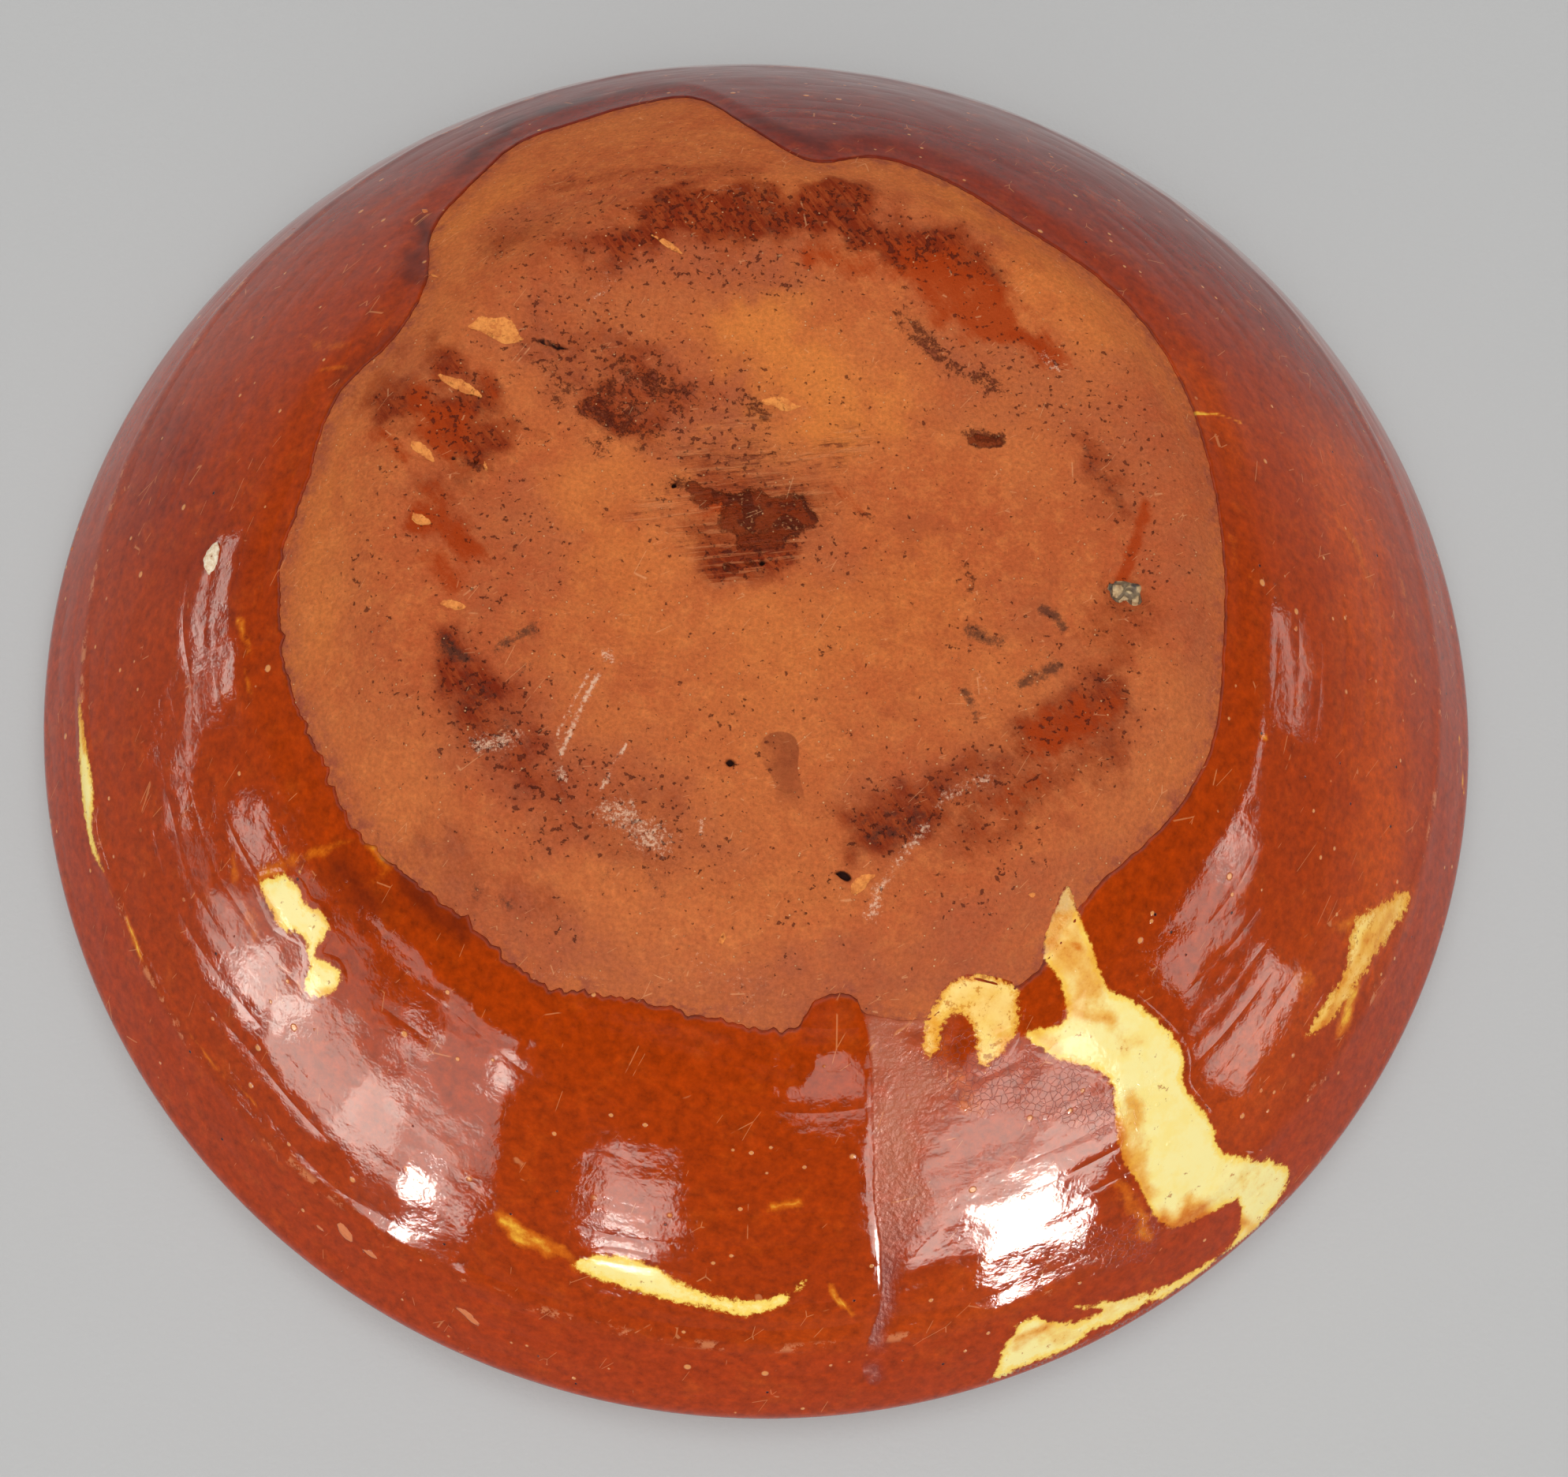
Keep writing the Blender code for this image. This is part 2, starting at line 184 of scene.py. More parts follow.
# Soft paint on the bare clay: from one pixel to another, how wide in pixels and how strong
CLAY_PAINT = {
    "stain": [
        (700, 232, 950, 214, 34, 0.35), (800, 292, 880, 268, 56, 0.9), (870, 264, 1060, 262, 58, 1.0),
        (1050, 264, 1190, 312, 54, 0.95), (1180, 318, 1260, 356, 44, 0.7), (640, 300, 780, 330, 60, 0.45),
        (490, 500, 600, 560, 60, 0.75), (560, 450, 610, 540, 50, 0.7), (540, 620, 590, 680, 50, 0.5),
        (700, 420, 770, 450, 80, 0.35), (765, 520, 820, 540, 50, 0.7), (820, 470, 875, 500, 52, 0.5),
        (1290, 420, 1320, 450, 24, 0.6), (1375, 560, 1420, 640, 34, 0.5), (1430, 760, 1400, 860, 56, 0.4),
        (560, 830, 610, 880, 56, 0.7), (600, 880, 670, 970, 60, 0.5), (540, 1070, 700, 1150, 56, 0.3),
        (700, 1000, 850, 1060, 60, 0.3), (1090, 1050, 1150, 1042, 52, 0.75),
        (1150, 1015, 1260, 970, 44, 0.5), (1240, 1045, 1420, 950, 46, 0.5), (1310, 925, 1400, 890, 50, 0.6),
        (905, 720, 990, 715, 34, 0.8), (890, 600, 1040, 640, 50, 0.45), (900, 680, 980, 690, 40, 0.5),
    ],
    "scab": [
        (1136, 398, 1150, 425, 20, 0.9), (1160, 405, 1190, 455, 34, 1.0), (1212, 470, 1252, 490, 26, 0.9),
        (1234, 545, 1268, 558, 24, 1.0), (835, 478, 875, 500, 44, 0.8), (770, 515, 820, 550, 60, 0.9),
        (745, 535, 760, 560, 34, 0.7), (940, 505, 972, 530, 28, 0.9), (590, 578, 606, 592, 14, 1.0),
        (1092, 648, 1104, 652, 14, 0.9), (1222, 712, 1240, 765, 14, 0.9), (700, 455, 725, 490, 40, 0.7),
        (1130, 320, 1145, 345, 26, 0.7), (1240, 350, 1262, 370, 20, 0.6), (845, 612, 865, 620, 16, 0.9),
        (1052, 500, 1085, 545, 34, 0.5), (740, 620, 800, 640, 40, 0.35), (790, 470, 830, 480, 40, 0.5),
    ],
    "rust": [
        (1320, 930, 1400, 900, 40, 0.5), (1260, 1030, 1330, 990, 34, 0.4), (1030, 328, 1080, 334, 34, 0.9),
        (1170, 345, 1270, 395, 60, 1.0), (1250, 400, 1330, 460, 36, 0.8), (1140, 320, 1180, 350, 42, 0.8),
        (545, 640, 590, 695, 42, 0.9), (540, 712, 572, 742, 22, 0.7), (530, 500, 590, 545, 44, 0.7),
        (470, 545, 505, 575, 18, 0.7), (590, 450, 625, 500, 12, 0.5), (1452, 640, 1418, 750, 12, 1.0),
        (900, 640, 1010, 655, 30, 0.8), (1330, 930, 1370, 910, 30, 0.6), (540, 540, 560, 570, 26, 0.7),
        (1060, 620, 1100, 650, 12, 0.5),
    ],
    "mauve": [
        (660, 270, 860, 330, 80, 0.5), (700, 420, 900, 520, 110, 0.9), (640, 640, 700, 720, 60, 0.6),
        (760, 330, 1000, 330, 80, 0.7), (960, 330, 1000, 370, 44, 0.7), (1080, 250, 1240, 300, 44, 0.6),
        (1420, 480, 1500, 800, 90, 0.5), (500, 460, 560, 480, 60, 0.7), (1180, 420, 1230, 470, 60, 0.5),
        (1240, 450, 1400, 560, 90, 0.6), (1480, 560, 1530, 900, 60, 0.55), (520, 620, 620, 760, 60, 0.4),
        (700, 960, 860, 1060, 90, 0.75), (590, 860, 680, 1000, 80, 0.9), (1120, 1030, 1420, 930, 90, 0.6),
        (560, 1090, 700, 1200, 60, 0.9), (700, 1200, 1000, 1270, 50, 0.8),
        (1000, 1240, 1250, 1230, 60, 0.85), (1200, 1180, 1420, 1080, 70, 0.6),
        (1140, 1000, 1240, 980, 60, 0.5), (880, 560, 1050, 700, 90, 0.55), (1300, 780, 1380, 860, 60, 0.4),
        (430, 700, 480, 900, 50, 0.25),
    ],
    "pale": [
        (950, 400, 1060, 520, 80, 1.0), (1000, 440, 940, 560, 60, 0.7), (560, 290, 640, 240, 60, 0.5),
        (1000, 800, 1150, 760, 120, 0.35), (1200, 250, 1400, 420, 60, 0.5), (420, 600, 400, 800, 60, 0.4),
        (760, 620, 800, 760, 80, 0.35),
    ],
    "soot": [
        (556, 818, 590, 838, 20, 0.95), (634, 820, 676, 796, 15, 0.95), (660, 850, 678, 838, 9, 0.8),
        (600, 880, 640, 930, 34, 0.55), (1100, 1050, 1150, 1036, 34, 0.6), (1232, 795, 1262, 812, 17, 0.95),
        (1292, 868, 1338, 842, 16, 0.9), (1325, 772, 1352, 790, 15, 0.95), (1225, 880, 1240, 905, 13, 0.8),
        (1370, 560, 1412, 625, 20, 0.5), (760, 1120, 790, 1090, 10, 0.5), (820, 1100, 850, 1140, 12, 0.5),
        (600, 1120, 640, 1150, 20, 0.6), (480, 1060, 520, 1110, 18, 0.4),
    ],
    "crust": [
        (890, 628, 960, 640, 20, 0.8), (950, 640, 1026, 652, 24, 1.0), (930, 662, 1000, 668, 24, 1.0),
        (946, 690, 976, 688, 18, 0.9), (952, 712, 960, 716, 9, 0.9), (874, 617, 884, 620, 9, 1.0),
        (925, 718, 932, 722, 9, 1.0), (1238, 556, 1262, 562, 15, 0.9),
    ],
    "drag": [
        (880, 590, 1060, 570, 34, 1.0), (850, 640, 1030, 640, 50, 1.0), (880, 700, 1000, 695, 40, 0.9),
        (1030, 570, 1100, 560, 30, 0.6), (900, 730, 960, 725, 24, 0.7), (900, 540, 980, 530, 18, 0.5),
        (1150, 550, 1200, 545, 20, 0.4),
    ],
    "scuff": [
        (757, 855, 712, 952, 5, 1.0), (746, 850, 708, 930, 4, 0.8), (762, 832, 772, 836, 13, 1.0),
        (703, 972, 712, 985, 12, 0.8), (792, 946, 762, 998, 4, 0.9), (618, 942, 648, 942, 24, 0.75),
        (1168, 1048, 1098, 1162, 13, 0.7), (1186, 1022, 1250, 985, 14, 0.6), (770, 1030, 840, 1060, 26, 0.6),
        (1240, 850, 1262, 900, 6, 0.4), (905, 240, 960, 236, 6, 0.5), (770, 345, 760, 362, 5, 0.6),
        (745, 385, 780, 355, 6, 0.7), (888, 1030, 890, 1060, 5, 0.7), (1320, 450, 1340, 470, 8, 0.7),
        (640, 1225, 760, 1240, 8, 0.4), (880, 1220, 960, 1260, 36, 0.3),
    ],
}

# Leaf shapes on the bare clay: end to end, and half the width
CLAY_CHIPS = [
    (825, 296, 865, 320, 6), (593, 410, 675, 424, 15), (554, 471, 606, 501, 9), (522, 556, 553, 583, 7),
    (611, 579, 619, 596, 4), (516, 648, 544, 666, 6), (550, 765, 588, 770, 7), (538, 346, 563, 352, 4),
    (968, 508, 1014, 514, 8), (1073, 1124, 1106, 1112, 9), (908, 1188, 920, 1188, 8),
    (1303, 1136, 1313, 1136, 4),
]
# Pits in the bare clay, carved and darkened with painted shade: end to end, and half the width
CLAY_PITS = [
    (917, 965, 929, 966, 6), (1063, 1107, 1079, 1110, 8), (676, 428, 722, 440, 5), (852, 612, 858, 616, 5),
    (960, 712, 970, 713, 6), (598, 583, 608, 585, 6), (571, 577, 578, 580, 4),
]

# The drip's stain on the bare clay: where it shows, and its outline
DRIP_FADE = [(988, 940, 992, 970, 40, 1.0), (992, 970, 1004, 1010, 28, 0.75)]
DRIP_STAIN = [
    (962, 948), (970, 932), (988, 926), (1006, 931), (1014, 948), (1013, 975), (1022, 1026), (985, 1026),
    (980, 990), (968, 970),
]

# Soft paint on the glaze
GLAZE_PAINT = {
    # Darker glaze: partly where it lies thick, partly painted shade on the parts of the wall that the light
    # from the front reached less
    "deep_and_shaded": [
        (200, 540, 290, 760, 150, 0.35), (180, 900, 240, 1060, 90, 0.25), (1500, 330, 1600, 480, 120, 0.3),
    ],
    "bright": [
        (1690, 600, 1740, 1150, 130, 1.0), (1500, 470, 1560, 560, 60, 0.5),
        (1640, 1250, 1560, 1400, 90, 0.6), (1300, 1640, 1000, 1700, 80, 0.4),
    ],
    "gold": [
        (240, 1305, 330, 1398, 6, 0.6), (640, 1550, 690, 1580, 22, 0.8), (700, 1570, 730, 1600, 16, 0.5),
        (975, 1525, 1005, 1520, 11, 0.6), (1052, 1625, 1062, 1650, 9, 0.7), (1062, 1650, 1078, 1664, 7, 0.6),
        (305, 790, 318, 830, 12, 0.6), (312, 850, 322, 875, 9, 0.5), (385, 430, 440, 445, 20, 0.35),
        (420, 470, 440, 470, 12, 0.4), (1700, 1180, 1760, 1150, 34, 0.5), (1640, 1240, 1700, 1290, 44, 0.42),
        (1720, 1240, 1690, 1310, 16, 0.6), (1762, 690, 1780, 780, 18, 0.4), (1690, 640, 1740, 790, 34, 0.38),
        (1786, 760, 1800, 880, 12, 0.4), (378, 1086, 442, 1068, 13, 0.42), (442, 1128, 508, 1098, 14, 0.3),
        (470, 1070, 488, 1084, 12, 0.45), (330, 1120, 350, 1105, 14, 0.5), (1640, 640, 1660, 720, 24, 0.3),
        (1560, 680, 1580, 740, 20, 0.3), (1720, 860, 1740, 960, 20, 0.25), (1846, 935, 1850, 1000, 9, 0.75),
        (165, 1165, 208, 1262, 7, 0.75), (208, 1262, 240, 1305, 5, 0.4), (118, 1060, 165, 1165, 5, 0.35),
        (300, 1090, 330, 1180, 26, 0.4), (340, 1100, 400, 1085, 26, 0.3), (455, 1065, 490, 1090, 18, 0.3),
        (395, 1265, 440, 1290, 14, 0.35), (520, 1480, 560, 1505, 9, 0.7), (1180, 1300, 1230, 1400, 26, 0.35),
        (1500, 720, 1560, 760, 14, 0.2), (1420, 1500, 1450, 1560, 26, 0.5),
        (1606, 1466, 1640, 1492, 12, 0.3), (1515, 524, 1540, 526, 5, 0.9), (1540, 526, 1570, 539, 5, 0.9),
        (1595, 930, 1602, 936, 7, 0.8), (600, 1500, 640, 1545, 12, 0.4),
    ],
    "umber": [
        (540, 280, 528, 350, 26, 0.8), (590, 215, 650, 165, 30, 0.9), (650, 160, 745, 132, 34, 1.0),
        (745, 132, 850, 112, 20, 0.7), (960, 155, 1040, 190, 18, 0.6), (500, 425, 430, 486, 18, 0.5),
        (520, 1120, 600, 1180, 26, 0.6), (340, 1148, 346, 1152, 12, 0.5), (430, 1110, 480, 1140, 30, 0.5),
        (1050, 180, 1120, 180, 30, 0.3),
    ],
    "run": [
        (1130, 1235, 1140, 1380, 60, 1.0), (1135, 1380, 1136, 1560, 44, 0.9),
        (1126, 1560, 1112, 1690, 22, 1.0), (1104, 1728, 1106, 1742, 20, 1.0),
    ],
    "craze": [(1180, 1340, 1420, 1400, 60, 1.0), (1390, 1580, 1440, 1570, 50, 1.0)],
}
GLAZE_CHIPS = [
    (428, 1548, 452, 1570, 10), (462, 1578, 488, 1592, 7), (582, 1652, 618, 1680, 8),
    (404, 1548, 414, 1556, 5), (84, 690, 92, 700, 8), (372, 296, 380, 294, 5), (535, 269, 547, 269, 6),
    (1475, 405, 1479, 407, 4), (1489, 407, 1493, 409, 4), (1522, 436, 1526, 440, 4),
    (1318, 240, 1324, 241, 3), (1252, 210, 1258, 211, 3), (1632, 798, 1640, 802, 5),
    (1476, 500, 1480, 502, 3),
]

# Where the slip lies thin or burnt, and where it ran past the glaze
BURNT_SLIP = [
    (1350, 1180, 1368, 1270, 44, 0.62), (1400, 1400, 1452, 1510, 18, 0.6),
    (1395, 1362, 1345, 1346, 14, 0.45), (1345, 1278, 1412, 1292, 12, 0.5), (1430, 1395, 1450, 1480, 16, 0.4),
    (1310, 1310, 1340, 1330, 12, 0.4), (1470, 1545, 1550, 1560, 20, 0.8), (1290, 1690, 1330, 1672, 10, 0.5),
    (1500, 1530, 1560, 1545, 26, 0.9), (1440, 1540, 1480, 1570, 22, 0.8), (1415, 1490, 1440, 1540, 14, 0.6),
    (1380, 1165, 1390, 1180, 8, 0.9), (1360, 1195, 1366, 1200, 6, 0.8), (1290, 1700, 1320, 1680, 12, 0.35),
    (1430, 1380, 1440, 1420, 12, 0.3), (336, 1143, 344, 1156, 7, 0.9), (333, 1118, 356, 1168, 10, 0.6),
    (384, 1120, 424, 1172, 9, 0.4), (406, 1255, 436, 1250, 8, 0.4), (105, 880, 116, 950, 9, 0.8),
    (128, 1045, 140, 1106, 10, 0.8), (1396, 1400, 1430, 1500, 14, 0.8), (1770, 1135, 1665, 1310, 30, 0.62),
    (1745, 1150, 1700, 1240, 14, 0.5), (1700, 1240, 1665, 1310, 8, 0.4), (1184, 1295, 1192, 1345, 12, 0.6),
    (1268, 1310, 1284, 1348, 15, 0.55), (1215, 1262, 1285, 1290, 34, 0.28),
    (1500, 1545, 1590, 1550, 18, 0.6), (640, 1240, 650, 1245, 4, 0.5), (1405, 1300, 1430, 1320, 20, 0.2),
    (1290, 1700, 1560, 1590, 44, 0.2), (1560, 1490, 1620, 1500, 40, 0.15),
]
DRY_SLIP = [(1350, 1150, 1335, 1205, 34, 1.0)]


def from_photo(red, green, blue):
    """A colour as the photograph shows it, from 0 to 255, in linear light."""
    return tuple(((c / 255 + 0.055) / 1.055) ** 2.4 if c > 10 else c / 3295 for c in (red, green, blue))


def metres(name, description, default):
    return FloatProperty(name=name, description=description, default=default, unit="LENGTH")


def factor(name, description, default):
    return FloatProperty(name=name, description=description, default=default)


def tint(name, description, default):
    return FloatVectorProperty(name=name, description=description, default=default, subtype="COLOR")


class DishSizes(PropertyGroup):
    rim_radius: metres("Rim radius", "The dish's widest radius, over its glaze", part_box("outer_glaze")[1].x)
    height: metres("Height", "From the rim's resting ring to the foot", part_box("clay_body")[1].z)
    foot_radius: metres("Foot radius", "The foot's flat face", 0.066)
    wall_thickness: metres("Wall", "How thick the clay wall is", 0.007)
    floor_thickness: metres("Floor", "How thick the clay is under the foot", 0.008)
    coat: metres("Glaze", "How far the glaze stands off the clay", 0.001)
    edge_bead: metres("Glaze edge", "How thick the glaze is where it starts", 0.00034)
    ring_spacing: metres("Throwing rings", "From one throwing ring to the next", 0.0068)
    ring_depth: metres("Ring depth", "How far the throwing rings rise and fall", 0.000025)
    slip_rise: metres("Slip rise", "How far the slip swells the glaze over it", 0.00006)


class DishColours(PropertyGroup):
    clay: tint("Clay", "Bare fired clay", from_photo(197, 106, 56))
    clay_blush: tint("Clay blush", "Clay that the kiln's fumes turned mauve", from_photo(158, 78, 54))
    clay_stain: tint("Clay stain", "The dark ring and patches on the foot", from_photo(118, 30, 6))
    glaze: tint("Glaze", "Glaze over most of the wall", from_photo(164, 54, 1))
    # Dark glaze colour: glaze that lies thick, and painted shade on the back of the wall
    deep_and_shaded_glaze: tint("Deep glaze", "Glaze where it lies thick", from_photo(118, 24, 1))
    band_glaze: tint("Band glaze", "Glaze on the band below the ridge", from_photo(166, 52, 3))
    slip: tint("Slip", "Slip where it lies thick", from_photo(255, 238, 160))
    thin_slip: tint("Thin slip", "Slip where the clay shows through", from_photo(234, 164, 62))


class StageSettings(PropertyGroup):
    floor_colour: tint("Floor", "The plain floor", (0.47, 0.47, 0.465))
    floor_lift: factor("Floor lift", "Light that the floor adds to its own picture", 0.05)
    horizon: factor("Horizon", "Strength of the room light, apart from its brightest part", 0.28)
    overhead: factor("Overhead", "How bright the room is in its brightest part, high up", 1.85)
    front: factor("Front light", "Strength of the soft light from the front", 7.0)
    windows: factor("Windows", "Strength of the lamps that show in the glaze", 1.3)


# Shapes in profile

def swept(start, end, first_slope, last_slope, pieces=24):
    """Points after start, up to end, on a curve whose slope, in degrees below level, turns evenly."""
    slopes = np.radians(np.linspace(first_slope, last_slope, 2 * pieces + 1)[1::2])
    path = np.cumsum(np.exp(-1j * slopes))
    return start + path * (end - start) / path[-1]


def quarter_round(start, end, pieces=12):
    """Points after start, up to end, on a quarter of an ellipse that starts upright and ends level."""
    turn = np.radians(90) * np.arange(1, pieces + 1) / pieces
    across = (end - start).real * (1 - np.cos(turn))
    return start + across + 1j * (end - start).imag * np.sin(turn)


class Line:
    """A profile that can be read at any way along it."""

    def __init__(self, points):
        self.points = np.asarray(points)
        self.ways = np.concatenate([[0], np.cumsum(abs(np.diff(self.points)))])
        along = np.gradient(self.points)
        self.normals = 1j * along / abs(along)
        self.widest = int(np.argmax(self.points.real))

    def read(self, ways, values):
        return np.interp(ways, self.ways, values.real) + 1j * np.interp(ways, self.ways, values.imag)

    def at(self, ways, off=0.0):
        """The point this far along the line and this far off it."""
        return self.read(ways, self.points) + off * self.read(ways, self.normals)

    def way_at_radius(self, radius):
        """How far along the line first reaches this radius."""
        return np.interp(radius, self.points.real[:self.widest + 1], self.ways[:self.widest + 1])

    def way_at_height(self, height):
        """How far along the line last falls to this height."""
        return float(np.interp(-height, -self.points.imag, self.ways))


def outside_line(sizes):
    """The clay's outside, from the foot's middle over the wall, ridge, band and lip to the rest."""
    rim = sizes.rim_radius - sizes.coat
    foot = sizes.foot_radius + 1j * sizes.height
    heel = foot + HEEL_WIDTH - 1j * HEEL_DROP
    ridge = rim - RIDGE_INSET + 1j * RIDGE_HEIGHT
    band_foot = rim - BAND_INSET + 1j * BAND_FOOT_HEIGHT
    widest = rim + 1j * LIP_ROUND_HEIGHT
    rest = complex(rim - LIP_OUTER_WIDTH, 0)
    return Line(np.concatenate([
        np.linspace(0, foot.real, 60) + 1j * foot.imag,
        swept(foot, heel, 0, HEEL_SLOPE),
        swept(heel, ridge, *WALL_SLOPES),
        swept(ridge, band_foot, *BAND_SLOPES),
        swept(band_foot, widest, BAND_SLOPES[1], 90, 8),
        quarter_round(widest, rest),
    ]))


def inside_line(sizes):
    """The clay's inside, from the floor's middle down to the rest."""
    outside = outside_line(sizes)
    ceiling = sizes.height - sizes.floor_thickness
    inner = outside.points.real[-1] - LIP_FLAT_WIDTH - LIP_INNER_WIDTH
    wall = outside.at(outside.ways, -sizes.wall_thickness)
    low = LIP_ROUND_HEIGHT + LIP_BLEND_HEIGHT
    wall = wall[(wall.real > sizes.foot_radius) & (wall.real < inner)]
    wall = wall[(wall.imag > low) & (wall.imag < ceiling - FLOOR_ROUND_DROP)]
    edge = wall[0].real - FLOOR_ROUND_WIDTH + 1j * ceiling
    first_slope = -math.degrees(np.angle(wall[1] - wall[0]))
    lip = inner + 1j * LIP_ROUND_HEIGHT
    return Line(np.concatenate([
        np.linspace(0, edge.real, 24) + 1j * ceiling,
        swept(edge, wall[0], 0, first_slope, 10),
        wall[1:],
        [lip],
        quarter_round(lip, complex(inner + LIP_INNER_WIDTH, 0)),
    ]))


def turned_to(profile, angles):
    """Profile points turned to these angles round Z, as x, y, z."""
    return np.stack([profile.real * np.cos(angles), profile.real * np.sin(angles), profile.imag], 1)


def angles_of(points):
    return np.arctan2(points[:, 1], points[:, 0])


# Seeing the dish as the photograph does

def photo_camera():
    """The camera's place and its directions to the right, up and forward."""
    tilt, roll = math.radians(EYE_ELEVATION), math.radians(EYE_ROLL)
    eye = AIM + EYE_DISTANCE * Vector((0, -math.cos(tilt), math.sin(tilt)))
    forward = (AIM - eye).normalized()
    right = Vector((1, 0, 0))
    up = right.cross(forward)
    rolled_right = math.cos(roll) * right - math.sin(roll) * up
    rolled_up = math.sin(roll) * right + math.cos(roll) * up
    return eye, rolled_right, rolled_up, forward


def seen_at(pixels, line):
    """Where each pixel's line of sight meets the turned surface of this profile, as x, y, z.

    A pixel just off the dish is drawn in towards the middle of the frame until it meets it.
    """
    eye, right, up, forward = (np.array(v) for v in photo_camera())
    top = line.points[:line.widest + 1]
    low, high = top.imag.min(), top.imag.max()
    found = []
    for pixel in pixels:
        shift = np.array(pixel, float) - (FRAME_WIDTH / 2, FRAME_HEIGHT / 2)
        below = [False]
        while not any(below):
            ray = forward + (shift[0] * right - shift[1] * up) / FOCAL_PIXELS
            reach = np.linspace((eye[2] - high) / -ray[2], (eye[2] - low) / -ray[2], SIGHT_STEPS)
            path = eye + reach[:, None] * ray
            radius = np.hypot(path[:, 0], path[:, 1])
            below = path[:, 2] <= np.interp(radius, top.real, top.imag, right=-1)
            shift *= DRAW_IN
        found.append(path[np.argmax(below)])
    return np.array(found)


def from_above(points):
    """The plan of x, y, z points."""
    return points[:, 0] + 1j * points[:, 1]


def plan_of(pixels, line):
    """The plan of the places that these pixels show."""
    return from_above(seen_at(pixels, line))


def smooth_loop(points, pieces=6):
    """A smooth closed curve through these points of a plan."""
    a, b, c, d = (np.roll(points, shift)[:, None] for shift in (1, 0, -1, -2))
    t = np.arange(pieces) / pieces
    bend = (c - a) * t + (2 * a - 5 * b + 4 * c - d) * t**2 + (3 * b - 3 * c + d - a) * t**3
    return (b + bend / 2).ravel()


def distance_inside(plan, loop):
    """How far inside a loop each point of a plan lies; below 0 outside it."""
    inside = np.zeros(len(plan), bool)
    nearest = np.full(len(plan), np.inf)
    for start, end in zip(loop, np.roll(loop, -1)):
        along = end - start
        share = np.clip(((plan - start) * np.conj(along)).real / abs(along) ** 2, 0, 1)
        nearest = np.minimum(nearest, abs(plan - start - share * along))
        crosses = (start.imag > plan.imag) != (end.imag > plan.imag)
        crossing = start.real + (plan.imag - start.imag) * along.real / (along.imag or 1)
        inside ^= crosses & (plan.real < crossing)
    return np.where(inside, nearest, -nearest)


def eased(values):
    values = np.clip(values, 0, 1)
    return values * values * (3 - 2 * values)


def waves(points, length, seed):
    """Smooth noise, mostly from -1 to 1, at x, y, z points, with waves about this long."""
    pick = np.random.default_rng(seed)
    directions = pick.normal(size=(3, 20))
    directions /= np.linalg.norm(directions, axis=0) * length * pick.uniform(0.6, 1.6, 20)
    return np.sin(math.tau * (points @ directions + pick.uniform(size=20))).sum(1) / 5


def along_stroke(points, ends):
    """How far each point lies from the line between two ends, and its share of the way, from -1 to 1."""
    middle, half = ends.mean(0), (ends[1] - ends[0]) / 2
    share = (points - middle) @ half / max(half @ half, 1e-12)
    held = np.clip(share, -1, 1)
    return np.linalg.norm(points - middle - held[:, None] * half, axis=1), held


def painted(points, strokes, line):
    """How strongly soft, uneven strokes cover each point, from 0 to 1."""
    drift = np.stack([waves(points, 0.013, s) + 0.6 * waves(points, 0.005, s + 3) for s in (51, 52, 53)], 1)
    bare = np.ones(len(points))
    for *pixels, width, strength in strokes:
        ends = seen_at(np.reshape(pixels, (2, 2)), line)
        reach = width * FOOT_PIXEL
        away = along_stroke(points + drift * min(0.3 * reach, 0.003), ends)[0]
        bare *= 1 - strength * np.exp(-1.7 * (away / reach) ** 2)
    return 1 - bare


def leaf_depth(points, leaves, line):
    """How far inside a leaf shape each point lies, or below 0 how far outside the nearest."""
    depth = np.full(len(points), FAR_OUTSIDE)
    drift = np.stack([waves(points, 0.006, seed) for seed in (54, 55, 56)], 1)
    for *pixels, width in leaves:
        ends = seen_at(np.reshape(pixels, (2, 2)), line)
        half_width = width * FOOT_PIXEL
        away, share = along_stroke(points + drift * 0.5 * half_width, ends)
        depth = np.maximum(depth, half_width * (1 - 0.75 * share**2) - away)
    return depth


# The thrown surface and its glaze

def outside_relief(points, ways, line, sizes):
    """How far the thrown surface stands off its even curve, at these ways along it."""
    swell = waves(points, 0.070, 1)
    foot = line.way_at_radius(sizes.foot_radius)
    ridge = ridge_way(line, sizes)
    widest = line.ways[line.widest]
    on_wall = eased((ways - foot - 0.006) / 0.012) * eased((widest - ways) / 0.010)
    rings = np.cos(math.tau * ring_turns(points, ways, sizes)) * (0.7 + 0.7 * waves(points, 0.035, 2))
    bead = RIDGE_BEAD + RIDGE_BEAD_WAVE * waves(points, 0.018, 3)
    bead = np.exp(-((ways - ridge) / RIDGE_BEAD_WIDTH) ** 2) * bead
    wall = sizes.ring_depth * rings + SWELL * swell + DIMPLE * waves(points, 0.013, 4) - WALL_SUNK + bead
    on_foot = 1 - eased((ways - foot + 0.004) / 0.010)
    return on_wall * wall + on_foot * (FOOT_WAVE * waves(points, 0.030, 5) - FOOT_SUNK)


def ring_turns(points, ways, sizes):
    """How many throwing rings lie between the middle and these points."""
    return ways / sizes.ring_spacing + 0.35 * waves(points, 0.070, 1) + 0.12 * waves(points, 0.025, 6)


def ridge_way(line, sizes):
    return line.way_at_radius(sizes.rim_radius - sizes.coat - RIDGE_INSET)


